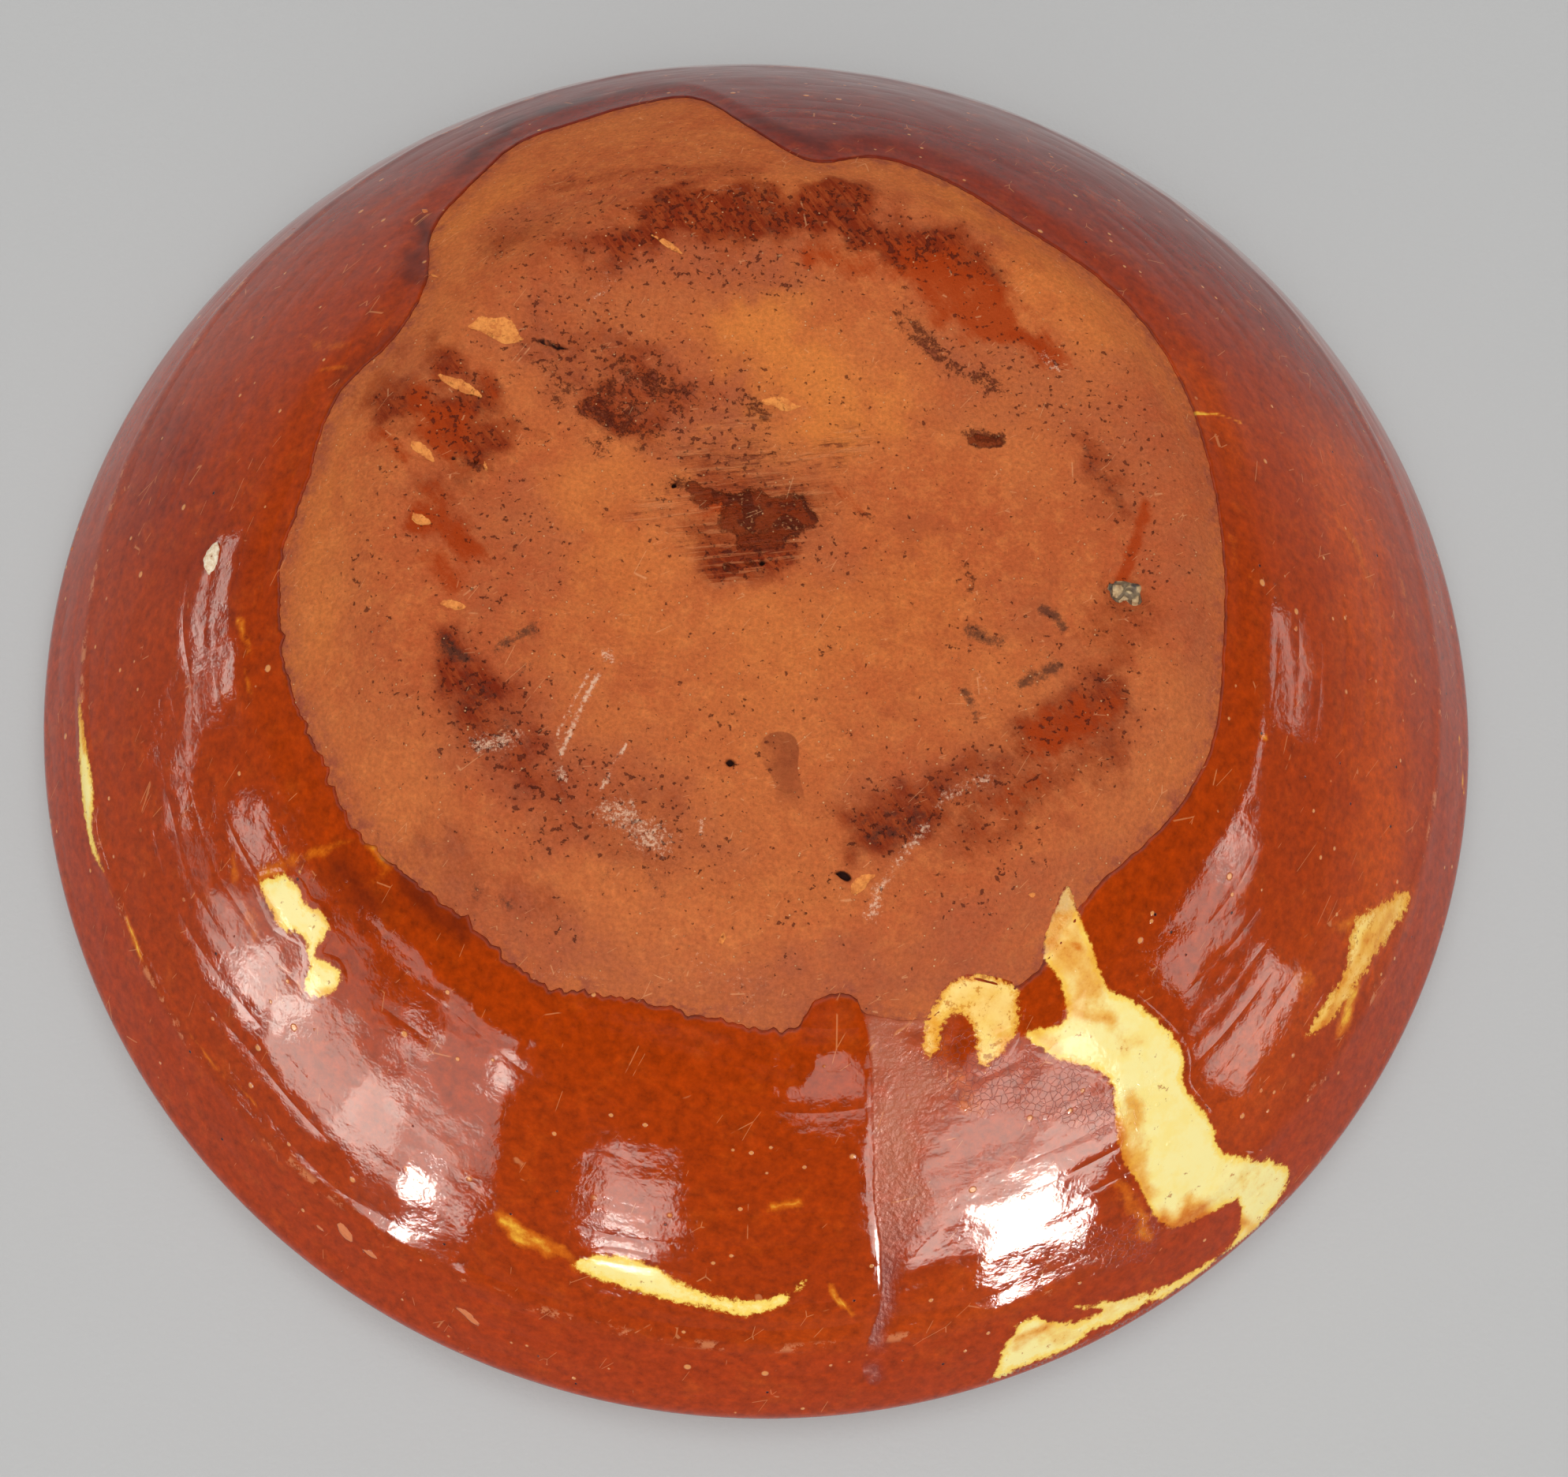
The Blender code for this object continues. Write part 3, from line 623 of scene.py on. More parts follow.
class GlazeEdge:
    """Where the outer glaze starts, and how thick it is from there on."""

    RAGGED_ANGLE = -2.15
    RUN_ANGLE = -1.35
    RUN_HALF_ANGLE = 0.35
    ROUNDED = 0.0008
    THICKENS_OVER = 0.012

    def __init__(self, line, sizes):
        self.line = line
        self.sizes = sizes
        self.dry_run = smooth_loop(plan_of(DRY_RUN, line))
        loop = smooth_loop(plan_of(GLAZE_LINE, line))
        order = np.argsort(np.angle(loop))
        self.angles = np.angle(loop)[order]
        self.ways = line.way_at_radius(abs(loop))[order]

    def start(self, angles):
        """How far along the outside the glaze starts, at these angles; most ragged at one of them."""
        ways = np.interp(angles, self.angles, self.ways, period=math.tau)
        circle = np.stack([np.cos(angles), np.sin(angles), 0 * angles], 1)
        from_ragged = np.angle(np.exp(1j * (angles - self.RAGGED_ANGLE)))
        ragged = 0.25 + 0.75 * eased(1.6 - abs(from_ragged) / 0.75)
        return ways + ragged * (0.00045 * waves(circle, 0.05, 11) + 0.00040 * waves(circle, 0.018, 12))

    def thickness(self, past, points):
        """How far the glaze stands off the clay, this far past its edge at these points."""
        rounded = np.sqrt(1 - (1 - np.clip(past / self.ROUNDED, 0, 1)) ** 2)
        thick = self.sizes.edge_bead * rounded
        thick += (self.sizes.coat - self.sizes.edge_bead) * eased(past / self.THICKENS_OVER)
        near = (abs(angles_of(points) - self.RUN_ANGLE) < self.RUN_HALF_ANGLE) & (past > 0)
        depth = distance_inside(from_above(points[near]), self.dry_run)
        run = painted(points[near], GLAZE_PAINT["run"], self.line)
        thick[near] *= 1 - 0.35 * run * eased(0.5 + depth / 0.0012)
        return thick


# Meshes

def spun(profile, steps, closed=False):
    """A profile turned round Z, with each point's number kept as its rank.

    A coarse turn is made first and its rings are cut finer, and then drawn out to their circles.
    """
    shape = bmesh.new()
    rank = shape.verts.layers.float.new("rank")
    verts = []
    for number, point in enumerate(profile):
        vert = shape.verts.new((point.real, 0, point.imag))
        vert[rank] = number
        verts.append(vert)
    ends = zip(verts, verts[1:] + verts[:1]) if closed else zip(verts, verts[1:])
    for pair in ends:
        shape.edges.new(pair)
    bmesh.ops.spin(
        shape, geom=shape.verts[:] + shape.edges[:], cent=(0, 0, 0), axis=(0, 0, 1), angle=math.tau,
        steps=FIRST_STEPS, use_merge=True)
    bmesh.ops.remove_doubles(shape, verts=shape.verts, dist=1e-7)
    rings = [edge for edge in shape.edges if edge.verts[0][rank] == edge.verts[1][rank]]
    bmesh.ops.subdivide_edges(shape, edges=rings, cuts=round(steps / FIRST_STEPS) - 1)
    radii = np.interp([vert[rank] for vert in shape.verts], np.arange(len(profile)), profile.real)
    for vert, radius in zip(shape.verts, radii):
        vert.co.xy *= radius / max(vert.co.xy.length, 1e-9)
    bmesh.ops.recalc_face_normals(shape, faces=shape.faces)
    return shape


def to_axis(profile):
    """A profile with both ends drawn to the axis."""
    profile[[0, -1]] = 1j * profile[[0, -1]].imag
    return profile


def refine(shape, marks, reach, cuts):
    """Finer faces within reach of these marks."""
    points = np.array([v.co for v in shape.verts])
    near = np.zeros(len(points), bool)
    for mark in marks:
        near |= np.linalg.norm(points - mark, axis=1) < reach
    edges = [edge for edge in shape.edges if near[edge.verts[0].index] and near[edge.verts[1].index]]
    bmesh.ops.subdivide_edges(shape, edges=edges, cuts=cuts, use_grid_fill=True)


def settle(shape, mesh):
    """Write a shape into its mesh."""
    shape.to_mesh(mesh)
    shape.free()
    mesh.shade_smooth()
    return mesh


def as_mesh(name, shape):
    return settle(shape, bpy.data.meshes.new(name))


def thicken(mesh, thickness):
    """Make a plate of an open sheet."""
    shape = bmesh.new()
    shape.from_mesh(mesh)
    bmesh.ops.solidify(shape, geom=shape.faces[:], thickness=thickness)
    bmesh.ops.recalc_face_normals(shape, faces=shape.faces)
    settle(shape, mesh)


def places(mesh):
    found = np.empty(3 * len(mesh.vertices), np.float32)
    mesh.vertices.foreach_get("co", found)
    return found.reshape(-1, 3).astype(float)


def move_to(mesh, points):
    mesh.vertices.foreach_set("co", points.astype(np.float32).ravel())
    mesh.update()


def ranks(mesh):
    found = np.empty(len(mesh.vertices), np.float32)
    mesh.attributes["rank"].data.foreach_get("value", found)
    return found.astype(float)


def keep_field(mesh, name, values):
    field = mesh.attributes.new(name, "FLOAT", "POINT")
    field.data.foreach_set("value", np.asarray(values, np.float32))


def finish_piece(name, mesh, material, slot, *nodes):
    piece = bpy.data.objects.new(name, mesh)
    bpy.context.scene.collection.objects.link(piece)
    mesh.materials.append(material)
    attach(piece, "root")
    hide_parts(*nodes)


# Material recipes

class Recipe:
    """A material's nodes, added one after another, with its colour and fine relief so far."""

    def __init__(self, name, colour):
        self.material = bpy.data.materials.new(name)
        self.material.use_nodes = True
        self.tree = self.material.node_tree
        self.shader = self.tree.nodes["Principled BSDF"]
        self.place = self.node("ShaderNodeTexCoord").outputs["Object"]
        self.colour = colour
        self.normal = None

    def node(self, kind, inputs=None, **settings):
        made = self.tree.nodes.new(kind)
        for key, value in settings.items():
            setattr(made, key, value)
        for socket, value in (inputs or {}).items():
            self.feed(made.inputs[socket], value)
        return made

    def feed(self, socket, value):
        if isinstance(value, bpy.types.NodeSocket):
            self.tree.links.new(value, socket)
        elif socket.type == "RGBA" and len(value) == 3:
            socket.default_value = (*value, 1)
        else:
            socket.default_value = value

    def field(self, name):
        return self.node("ShaderNodeAttribute", attribute_name=name).outputs["Fac"]

    def stretched(self, scale, turn=0.0):
        """Coordinates turned round Z and then scaled, for streaks that run one way."""
        turned = self.node("ShaderNodeMapping", {"Vector": self.place, "Rotation": (0, 0, turn)})
        return self.node("ShaderNodeMapping", {"Vector": turned.outputs[0], "Scale": scale}).outputs[0]

    def noise(self, scale, detail=3.0, roughness=0.55, distortion=0.0, place=None):
        return self.node("ShaderNodeTexNoise", {
            "Vector": place or self.place, "Scale": scale, "Detail": detail, "Roughness": roughness,
            "Distortion": distortion}).outputs["Fac"]

    def cells(self, scale, feature="F1", output="Distance", place=None):
        return self.node("ShaderNodeTexVoronoi", {
            "Vector": place or self.place, "Scale": scale}, feature=feature).outputs[output]

    def maths(self, operation, first, second=0.0):
        return self.node("ShaderNodeMath", {0: first, 1: second}, operation=operation).outputs[0]

    def times(self, first, second):
        return self.maths("MULTIPLY", first, second)

    def plus(self, first, second):
        return self.maths("ADD", first, second)

    def less(self, first, second):
        return self.maths("SUBTRACT", first, second)

    def most(self, first, second):
        return self.maths("MAXIMUM", first, second)

    def both(self, first, second, share=0.5):
        """Two noises in one; the second has this share."""
        return self.plus(self.times(first, 1 - share), self.times(second, share))

    def moved(self, value, noise, spread):
        """A value that the noise moves up and down, by half the spread each way."""
        return self.plus(value, self.times(self.less(noise, 0.5), spread))

    def band(self, value, low, high):
        """0 below low, 1 above high, eased between; the other way round where low is above high."""
        flipped = low > high
        inputs = {"Value": value, "From Min": min(low, high), "From Max": max(low, high),
                  "To Min": float(flipped), "To Max": float(not flipped)}
        return self.node("ShaderNodeMapRange", inputs, interpolation_type="SMOOTHSTEP").outputs[0]

    def rough_edged(self, field, noise, spread, low, high):
        """A soft field cut to a ragged patch: the noise moves where it passes from low to high."""
        ragged = self.band(self.moved(field, noise, spread), low, high)
        return self.times(ragged, self.band(field, 0.01, 0.12))

    def specks(self, scale, size, share):
        """Scattered round specks: cells across a metre, their size in cells, and the share that have one."""
        cell = self.node("ShaderNodeSeparateColor", {"Color": self.cells(scale, output="Color")})
        chosen = self.band(cell.outputs["Red"], share, share * 0.9)
        return self.times(self.band(self.cells(scale), size, size * 0.6), chosen)

    def hairlines(self, scale, width, cut):
        """Broken hair-thin scratches that wander over the surface."""
        seams = self.cells(scale, "DISTANCE_TO_EDGE", place=self.stretched((0.5, 2.2, 1.0), scale))
        broken = self.band(self.noise(scale * 1.7, 2), cut, cut + 0.04)
        return self.times(self.band(seams, width, width * 0.4), broken)

    def mix(self, share, first, second):
        """A mix of two colours. One given by its numbers is as the photograph shows it."""
        first, second = (from_photo(*c) if isinstance(c, tuple) else c for c in (first, second))
        return self.node("ShaderNodeMix", {0: share, 6: first, 7: second}, data_type="RGBA").outputs[2]

    def blend(self, share, first, second):
        return self.node("ShaderNodeMix", {0: share, 2: first, 3: second}).outputs[0]

    def lay(self, share, colour, strength=1.0):
        """Lay a colour over what is there where share is 1; a lower strength thins it."""
        if strength < 1:
            share = self.times(share, strength)
        self.colour = self.mix(share, self.colour, colour)

    def shade(self, noise, low, high, dark, light):
        """Darken what is there where the noise is low, and lighten it where it is high."""
        amount = self.node("ShaderNodeMapRange", {
            "Value": noise, "From Min": low, "From Max": high, "To Min": dark, "To Max": light}).outputs[0]
        self.colour = self.node(
            "ShaderNodeVectorMath", {0: self.colour, "Scale": amount}, operation="SCALE").outputs[0]

    def bump(self, height, depth):
        """Add fine relief to what is there."""
        inputs = {"Height": height, "Distance": depth}
        if self.normal:
            inputs["Normal"] = self.normal
        self.normal = self.node("ShaderNodeBump", inputs).outputs["Normal"]

    def done(self, roughness, ior=1.5, specular=0.5):
        self.feed(self.shader.inputs["Base Color"], self.colour)
        self.feed(self.shader.inputs["Roughness"], roughness)
        self.feed(self.shader.inputs["Normal"], self.normal)
        self.shader.inputs["IOR"].default_value = ior
        self.shader.inputs["Specular IOR Level"].default_value = specular
        return self.material


def clay_material(colours):
    """Fired red clay: sandy, blushed and stained, with chips, scuffs, soot and a torn crust."""
    r = Recipe("fired red clay", colours.clay)
    sand = r.noise(1300, 4, 0.65)
    mottle = r.noise(330, 5, 0.7)
    drag = r.noise(1, 4, 0.6, 0.3, place=r.stretched((75, 950, 75), -0.3))
    fire_clay(r, colours, sand, mottle)
    rust, scab, marks = stain_clay(r, colours, sand, mottle)
    crust = tear_clay(r, drag)
    pale_grit = wear_clay(r, sand, mottle)
    r.bump(sand, 0.00022)
    r.bump(r.less(r.times(pale_grit, 0.6), r.most(marks, r.times(scab, sand))), 0.0003)
    r.bump(r.times(r.field("drag"), drag), 0.0012)
    r.bump(r.times(crust, r.noise(900, 3)), 0.0006)
    r.bump(mottle, 0.0004)
    glassy = r.most(crust, r.times(rust, 0.7))
    return r.done(r.blend(glassy, r.blend(mottle, 0.72, 0.88), 0.5), specular=0.05)


def fire_clay(r, colours, sand, mottle):
    """The clay as it was fired: cloudy and sandy, pale in places and blushed in others."""
    cloud = r.noise(34, 5, 0.6)
    mottled = r.band(mottle, 0.35, 0.65)
    fume = r.band(r.field("from_glaze"), 0.007, 0.0002)
    r.lay(r.band(cloud, 0.35, 0.68), (186, 90, 48))
    r.lay(r.band(mottle, 0.42, 0.75), (222, 130, 70), 0.5)
    r.lay(r.field("pale"), (226, 134, 60), 0.65)
    blush = r.most(r.times(r.field("mauve"), 0.8), r.times(fume, mottled))
    r.lay(r.times(blush, r.blend(mottled, 0.5, 1.0)), colours.clay_blush)
    r.shade(sand, 0.3, 0.7, 0.80, 1.17)
    smudge = r.times(r.band(r.noise(120, 6, 0.7), 0.5, 0.68), r.band(cloud, 0.4, 0.6))
    r.lay(smudge, (160, 76, 44), 0.45)


def stain_clay(r, colours, sand, mottle):
    """The stained ring, the rust, the dark scabs and marks, the drip and the soot."""
    brushed = r.noise(1, 4, 0.65, place=r.stretched((170, 1000, 170), 0.8))
    worn = r.both(r.noise(480, 8, 0.85), brushed, 0.4)
    stain = r.rough_edged(r.times(r.field("stain"), 1.2), worn, 1.7, 0.05, 0.9)
    stain_colour = r.mix(r.band(brushed, 0.42, 0.62), colours.clay_stain, (150, 60, 24))
    r.lay(stain, r.mix(r.band(mottle, 0.5, 0.75), stain_colour, (88, 36, 26)), 0.9)
    rust = r.rough_edged(r.field("rust"), worn, 2.0, 0.15, 0.85)
    r.lay(rust, (166, 56, 8), 0.85)
    scab = r.rough_edged(r.field("scab"), r.noise(700, 7, 0.85), 3.2, 0.75, 1.05)
    r.lay(scab, r.mix(r.band(sand, 0.4, 0.62), (84, 30, 20), (138, 66, 42)), 0.8)
    clusters = r.most(r.field("stain"), r.times(r.field("mauve"), 0.8))
    clusters = r.most(clusters, r.times(r.band(r.noise(60, 3), 0.52, 0.62), 0.45))
    clusters = r.less(r.times(clusters, 0.13), r.times(r.band(r.field("from_glaze"), 0.018, 0.004), 0.10))
    marks = r.band(r.plus(r.noise(800, 4, 0.6), clusters), 0.665, 0.715)
    r.lay(marks, (82, 30, 20), 0.75)
    drips = r.times(r.band(r.field("drip_depth"), 0, 0.0003), r.field("drip"))
    r.lay(drips, (112, 44, 28), 0.6)
    soot = r.rough_edged(r.field("soot"), r.noise(460, 8, 0.85), 2.8, 0.35, 0.9)
    r.lay(soot, (62, 42, 34), 0.75)
    return rust, scab, marks


def tear_clay(r, drag):
    """The lines dragged across the foot's middle, and the crust that was torn there."""
    lines = r.times(r.band(r.field("drag"), 0.2, 0.9), r.band(drag, 0.53, 0.59))
    lines = r.times(lines, r.band(r.noise(420, 5, 0.75), 0.44, 0.58))
    r.lay(lines, (104, 42, 28), 0.7)
    raised = r.times(r.band(r.field("drag"), 0.2, 0.7), r.band(drag, 0.46, 0.42))
    r.lay(raised, (222, 140, 90), 0.3)
    crust = r.rough_edged(r.field("crust"), r.noise(300, 6, 0.8), 1.8, 0.35, 0.6)
    r.lay(crust, (120, 42, 12), 0.85)
    grown = r.times(crust, r.band(r.noise(170, 2), 0.47, 0.52))
    r.lay(grown, (62, 22, 12), 0.6)
    crystals = r.times(grown, r.band(r.noise(1300, 3), 0.58, 0.63))
    r.lay(crystals, (186, 124, 80), 0.6)
    return crust


def wear_clay(r, sand, mottle):
    """Pale grit, scratches, chips and scuffs, and the pits darkened with painted shade."""
    pale_grit = r.specks(800, 0.17, 0.20)
    r.lay(pale_grit, (240, 182, 128), 0.65)
    hairs = r.most(r.hairlines(90, 0.012, 0.63), r.hairlines(210, 0.02, 0.63))
    r.lay(hairs, (230, 168, 118), 0.38)
    chips = r.band(r.moved(r.field("chip_depth"), mottle, 0.0012), 0, 0.00012)
    flaky = r.band(r.both(mottle, sand), 0.4, 0.6)
    r.lay(chips, r.mix(flaky, (206, 118, 60), (236, 152, 78)))
    scuff = r.rough_edged(r.field("scuff"), r.noise(1500, 5, 0.8), 2.6, 0.4, 0.9)
    r.lay(scuff, (238, 198, 166), 0.7)
    # Painted shade: the carved pits are darkened nearly to black
    pit_shade = r.band(r.moved(r.field("pit_depth"), mottle, 0.0010), -0.0001, 0.0003)
    r.lay(pit_shade, (46, 24, 20))
    return pale_grit


def glazed(name, colours, slip_colours=None, ragged=1.0):
    """Glaze over the clay, or over slip where slip colours, from its thin edge to its heart, are given."""
    r = Recipe(name, colours.glaze)
    cloud = r.noise(22, 5, 0.6)
    flow = r.noise(150, 5, 0.65)
    grain = r.noise(520, 4, 0.7)
    lay_glaze(r, colours, cloud, flow, grain)
    dry = dry_glaze(r, flow, grain)
    chips, flaws = spoil_glaze(r, flow)
    matt = r.most(r.times(dry, 0.85), chips)
    if slip_colours:
        lay_slip(r, slip_colours, ragged, cloud, flow, grain)
        matt = r.most(matt, r.field("dry_slip"))

    rings = r.maths("ABSOLUTE", r.maths("SINE", r.times(r.field("ring_turns"), math.pi)))
    rings = r.times(rings, r.blend(r.band(r.noise(30, 2), 0.4, 0.6), 0.3, 1.5))
    r.bump(rings, 0.00004)
    r.bump(r.noise(75, 3), 0.00008)
    r.bump(r.noise(260, 3), 0.00003)
    r.bump(grain, 0.00002)
    r.bump(flaws, 0.00012)
    r.bump(r.times(matt, r.noise(900, 3)), 0.0004)
    gloss = r.blend(r.band(r.noise(60, 3), 0.4, 0.7), 0.035, 0.08)
    return r.done(r.blend(matt, gloss, 0.55), ior=1.45, specular=0.18)


def lay_glaze(r, colours, cloud, flow, grain):
    """The glaze itself: darker at the back, partly thick glaze and partly painted shade, and darker in
    clouds; brighter at the right, with amber streaks.
    """
    # Painted shade: the glaze darkens towards the back, away from the light at the front
    back = r.band(r.node("ShaderNodeSeparateXYZ", {"Vector": r.place}).outputs["Y"], 0.02, 0.125)
    deep_and_shaded = r.plus(r.most(r.field("deep_and_shaded"), back), r.times(r.band(cloud, 0.45, 0.75), 0.25))
    r.lay(r.field("bright"), (198, 76, 0), 0.8)
    r.lay(r.band(deep_and_shaded, 0.05, 1.0), colours.deep_and_shaded_glaze)
    r.lay(r.band(r.field("ridge"), -0.001, 0.004), colours.band_glaze, 0.7)
    r.lay(r.band(flow, 0.5, 0.8), (196, 84, 14), 0.35)
    r.shade(grain, 0.25, 0.75, 0.60, 1.36)
    gold = r.rough_edged(r.field("gold"), r.both(flow, grain, 0.4), 1.1, 0.15, 1.0)
    r.lay(r.band(gold, 0, 0.45), (206, 98, 12))
    r.lay(r.band(gold, 0.35, 0.95), (248, 190, 60))


def dry_glaze(r, flow, grain):
    """The ridge's pale line, partly worn glaze and partly painted highlight, the dark edge, and the run that
    dried matt.
    """
    ridge = r.field("ridge")
    on_ridge = r.band(r.maths("ABSOLUTE", ridge), 0.0016, 0.0002)
    # A broken pale line along the ridge: partly worn glaze, partly painted highlight
    r.lay(r.times(on_ridge, r.band(r.noise(110, 5, 0.75), 0.54, 0.60)), (216, 132, 84), 0.7)
    r.lay(r.field("umber"), (66, 14, 8), 0.9)
    dry = r.band(r.moved(r.field("dry_depth"), flow, 0.0010), -0.0001, 0.0006)
    dry = r.times(dry, r.field("run"))
    bead = r.times(r.band(r.field("past"), 0.0008, 0.0001), r.blend(r.band(flow, 0.4, 0.6), 0.2, 0.7))
    r.lay(r.times(bead, r.less(1.0, dry)), (92, 36, 24))
    low_down = r.moved(r.band(ridge, -0.045, -0.004), flow, 0.7)
    dry_colour = r.mix(r.band(low_down, 0, 1), (172, 90, 58), (118, 34, 24))
    dry_colour = r.mix(r.times(r.band(grain, 0.52, 0.66), 0.45), dry_colour, (190, 118, 100))
    r.lay(r.times(dry, r.blend(r.band(flow, 0.35, 0.6), 0.55, 0.9)), dry_colour)
    return dry


def spoil_glaze(r, flow):
    """Bubbles, pinholes darkened with painted shade, crazing, scratches, chips and flecks. Gives the chips
    and the flaws' relief.
    """
    bubbles = r.most(r.specks(330, 0.16, 0.12), r.specks(140, 0.11, 0.22))
    r.lay(bubbles, (236, 160, 92), 0.75)
    # Painted shade: the pinholes, sunk by the relief, are darkened nearly to black
    pinholes = r.specks(260, 0.09, 0.10)
    r.lay(pinholes, (50, 14, 10))
    craze = r.times(r.band(r.cells(820, "DISTANCE_TO_EDGE"), 0.06, 0.02), r.band(r.field("craze"), 0.2, 0.8))
    r.lay(craze, (120, 66, 64), 0.25)
    r.lay(r.hairlines(90, 0.012, 0.6), (222, 140, 84), 0.5)
    chips = r.band(r.moved(r.field("chip_depth"), flow, 0.0008), 0, 0.0002)
    r.lay(chips, (214, 118, 64))
    r.lay(r.band(r.noise(600, 5, 0.75), 0.66, 0.72), (96, 24, 6), 0.5)
    return chips, r.less(r.times(bubbles, 0.5), r.most(pinholes, r.times(craze, 0.3)))


def lay_slip(r, slip_colours, ragged, cloud, flow, grain):
    """Slip inside its ragged outline, from its thin edge to its heart, with burnt and dry places."""
    edge, body, heart = slip_colours
    patchy = r.times(r.band(cloud, 0.35, 0.65), ragged)
    depth = r.moved(r.field("slip_depth"), flow, r.blend(patchy, 0.0008, 0.0036))
    depth = r.moved(depth, grain, r.blend(patchy, 0.0005, 0.0022))
    depth = r.moved(depth, r.noise(1000, 4, 0.7), 0.0016 * ragged)
    lumps = r.both(r.noise(85, 4, 0.6), grain, 0.4)
    thickness = r.moved(r.band(depth, 0.0, 0.0020), lumps, 2.4)
    uneven = r.both(flow, grain)
    spotted = r.plus(grain, r.plus(r.times(r.field("dry_slip"), 0.13), 0.07 * ragged))
    under, r.colour = r.colour, edge
    r.lay(r.band(depth, 0.0, 0.0006), body)
    r.lay(r.band(thickness, 0.15, 0.9), heart)
    r.lay(r.band(flow, 0.42, 0.66), (255, 220, 98), 0.4)
    r.lay(r.field("dry_slip"), (210, 160, 104))
    r.lay(r.band(spotted, 0.70, 0.77), (176, 88, 30), 0.7)
    r.lay(r.rough_edged(r.field("burnt"), uneven, 1.3, 0.0, 0.6), (238, 160, 40), 0.75)
    r.lay(r.rough_edged(r.field("burnt"), uneven, 1.1, 0.45, 0.95), (214, 112, 16))
    r.colour = r.mix(r.band(depth, -0.0001, 0.0005), under, r.colour)


def glaze_material(colours):
    return glazed("orange brown lead glaze", colours)


def yellow_slip_material(colours):
    return glazed("yellow slip under glaze", colours, (
        (232, 148, 34), (255, 218, 104), colours.slip))


def thin_slip_material(colours):
    return glazed("thin slip under glaze", colours, (
        (196, 92, 22), colours.thin_slip, (255, 216, 128)), 2.0)


def stone_material(colours):
    """Pale sandstone grit, with painted shade in its crevices."""
    r = Recipe("grit stone", (150, 116, 78))
    flake = r.noise(600, 5, 0.7)
    creases = r.band(r.cells(420, "DISTANCE_TO_EDGE"), 0.05, 0.16)
    r.lay(r.band(flake, 0.3, 0.7), (214, 184, 136))
    r.lay(r.band(r.noise(240, 3), 0.5, 0.62), (64, 56, 50))
    # Painted shade: the crevices between the cells, low in the relief, are darkened
    r.lay(r.less(1.0, creases), (48, 36, 30), 0.7)
    r.bump(r.plus(r.times(flake, 0.5), creases), 0.0003)
    return r.done(0.7)


def lime_material(colours):
    """Chalky lime that broke through the glaze."""
    r = Recipe("lime speck", (214, 176, 132))
    chalk = r.noise(900, 5, 0.7)
    r.lay(r.band(chalk, 0.35, 0.65), (246, 232, 204))
    r.lay(r.specks(900, 0.24, 0.3), (150, 92, 60))
    r.bump(chalk, 0.0003)
    return r.done(0.6)


def shared_material(recipe, context):
    """One material for each recipe, made once."""
    found = bpy.data.materials.get(recipe.__name__)
    if not found:
        found = recipe(context.scene.dish_colours)
        found.name = recipe.__name__
    return found


# The pieces

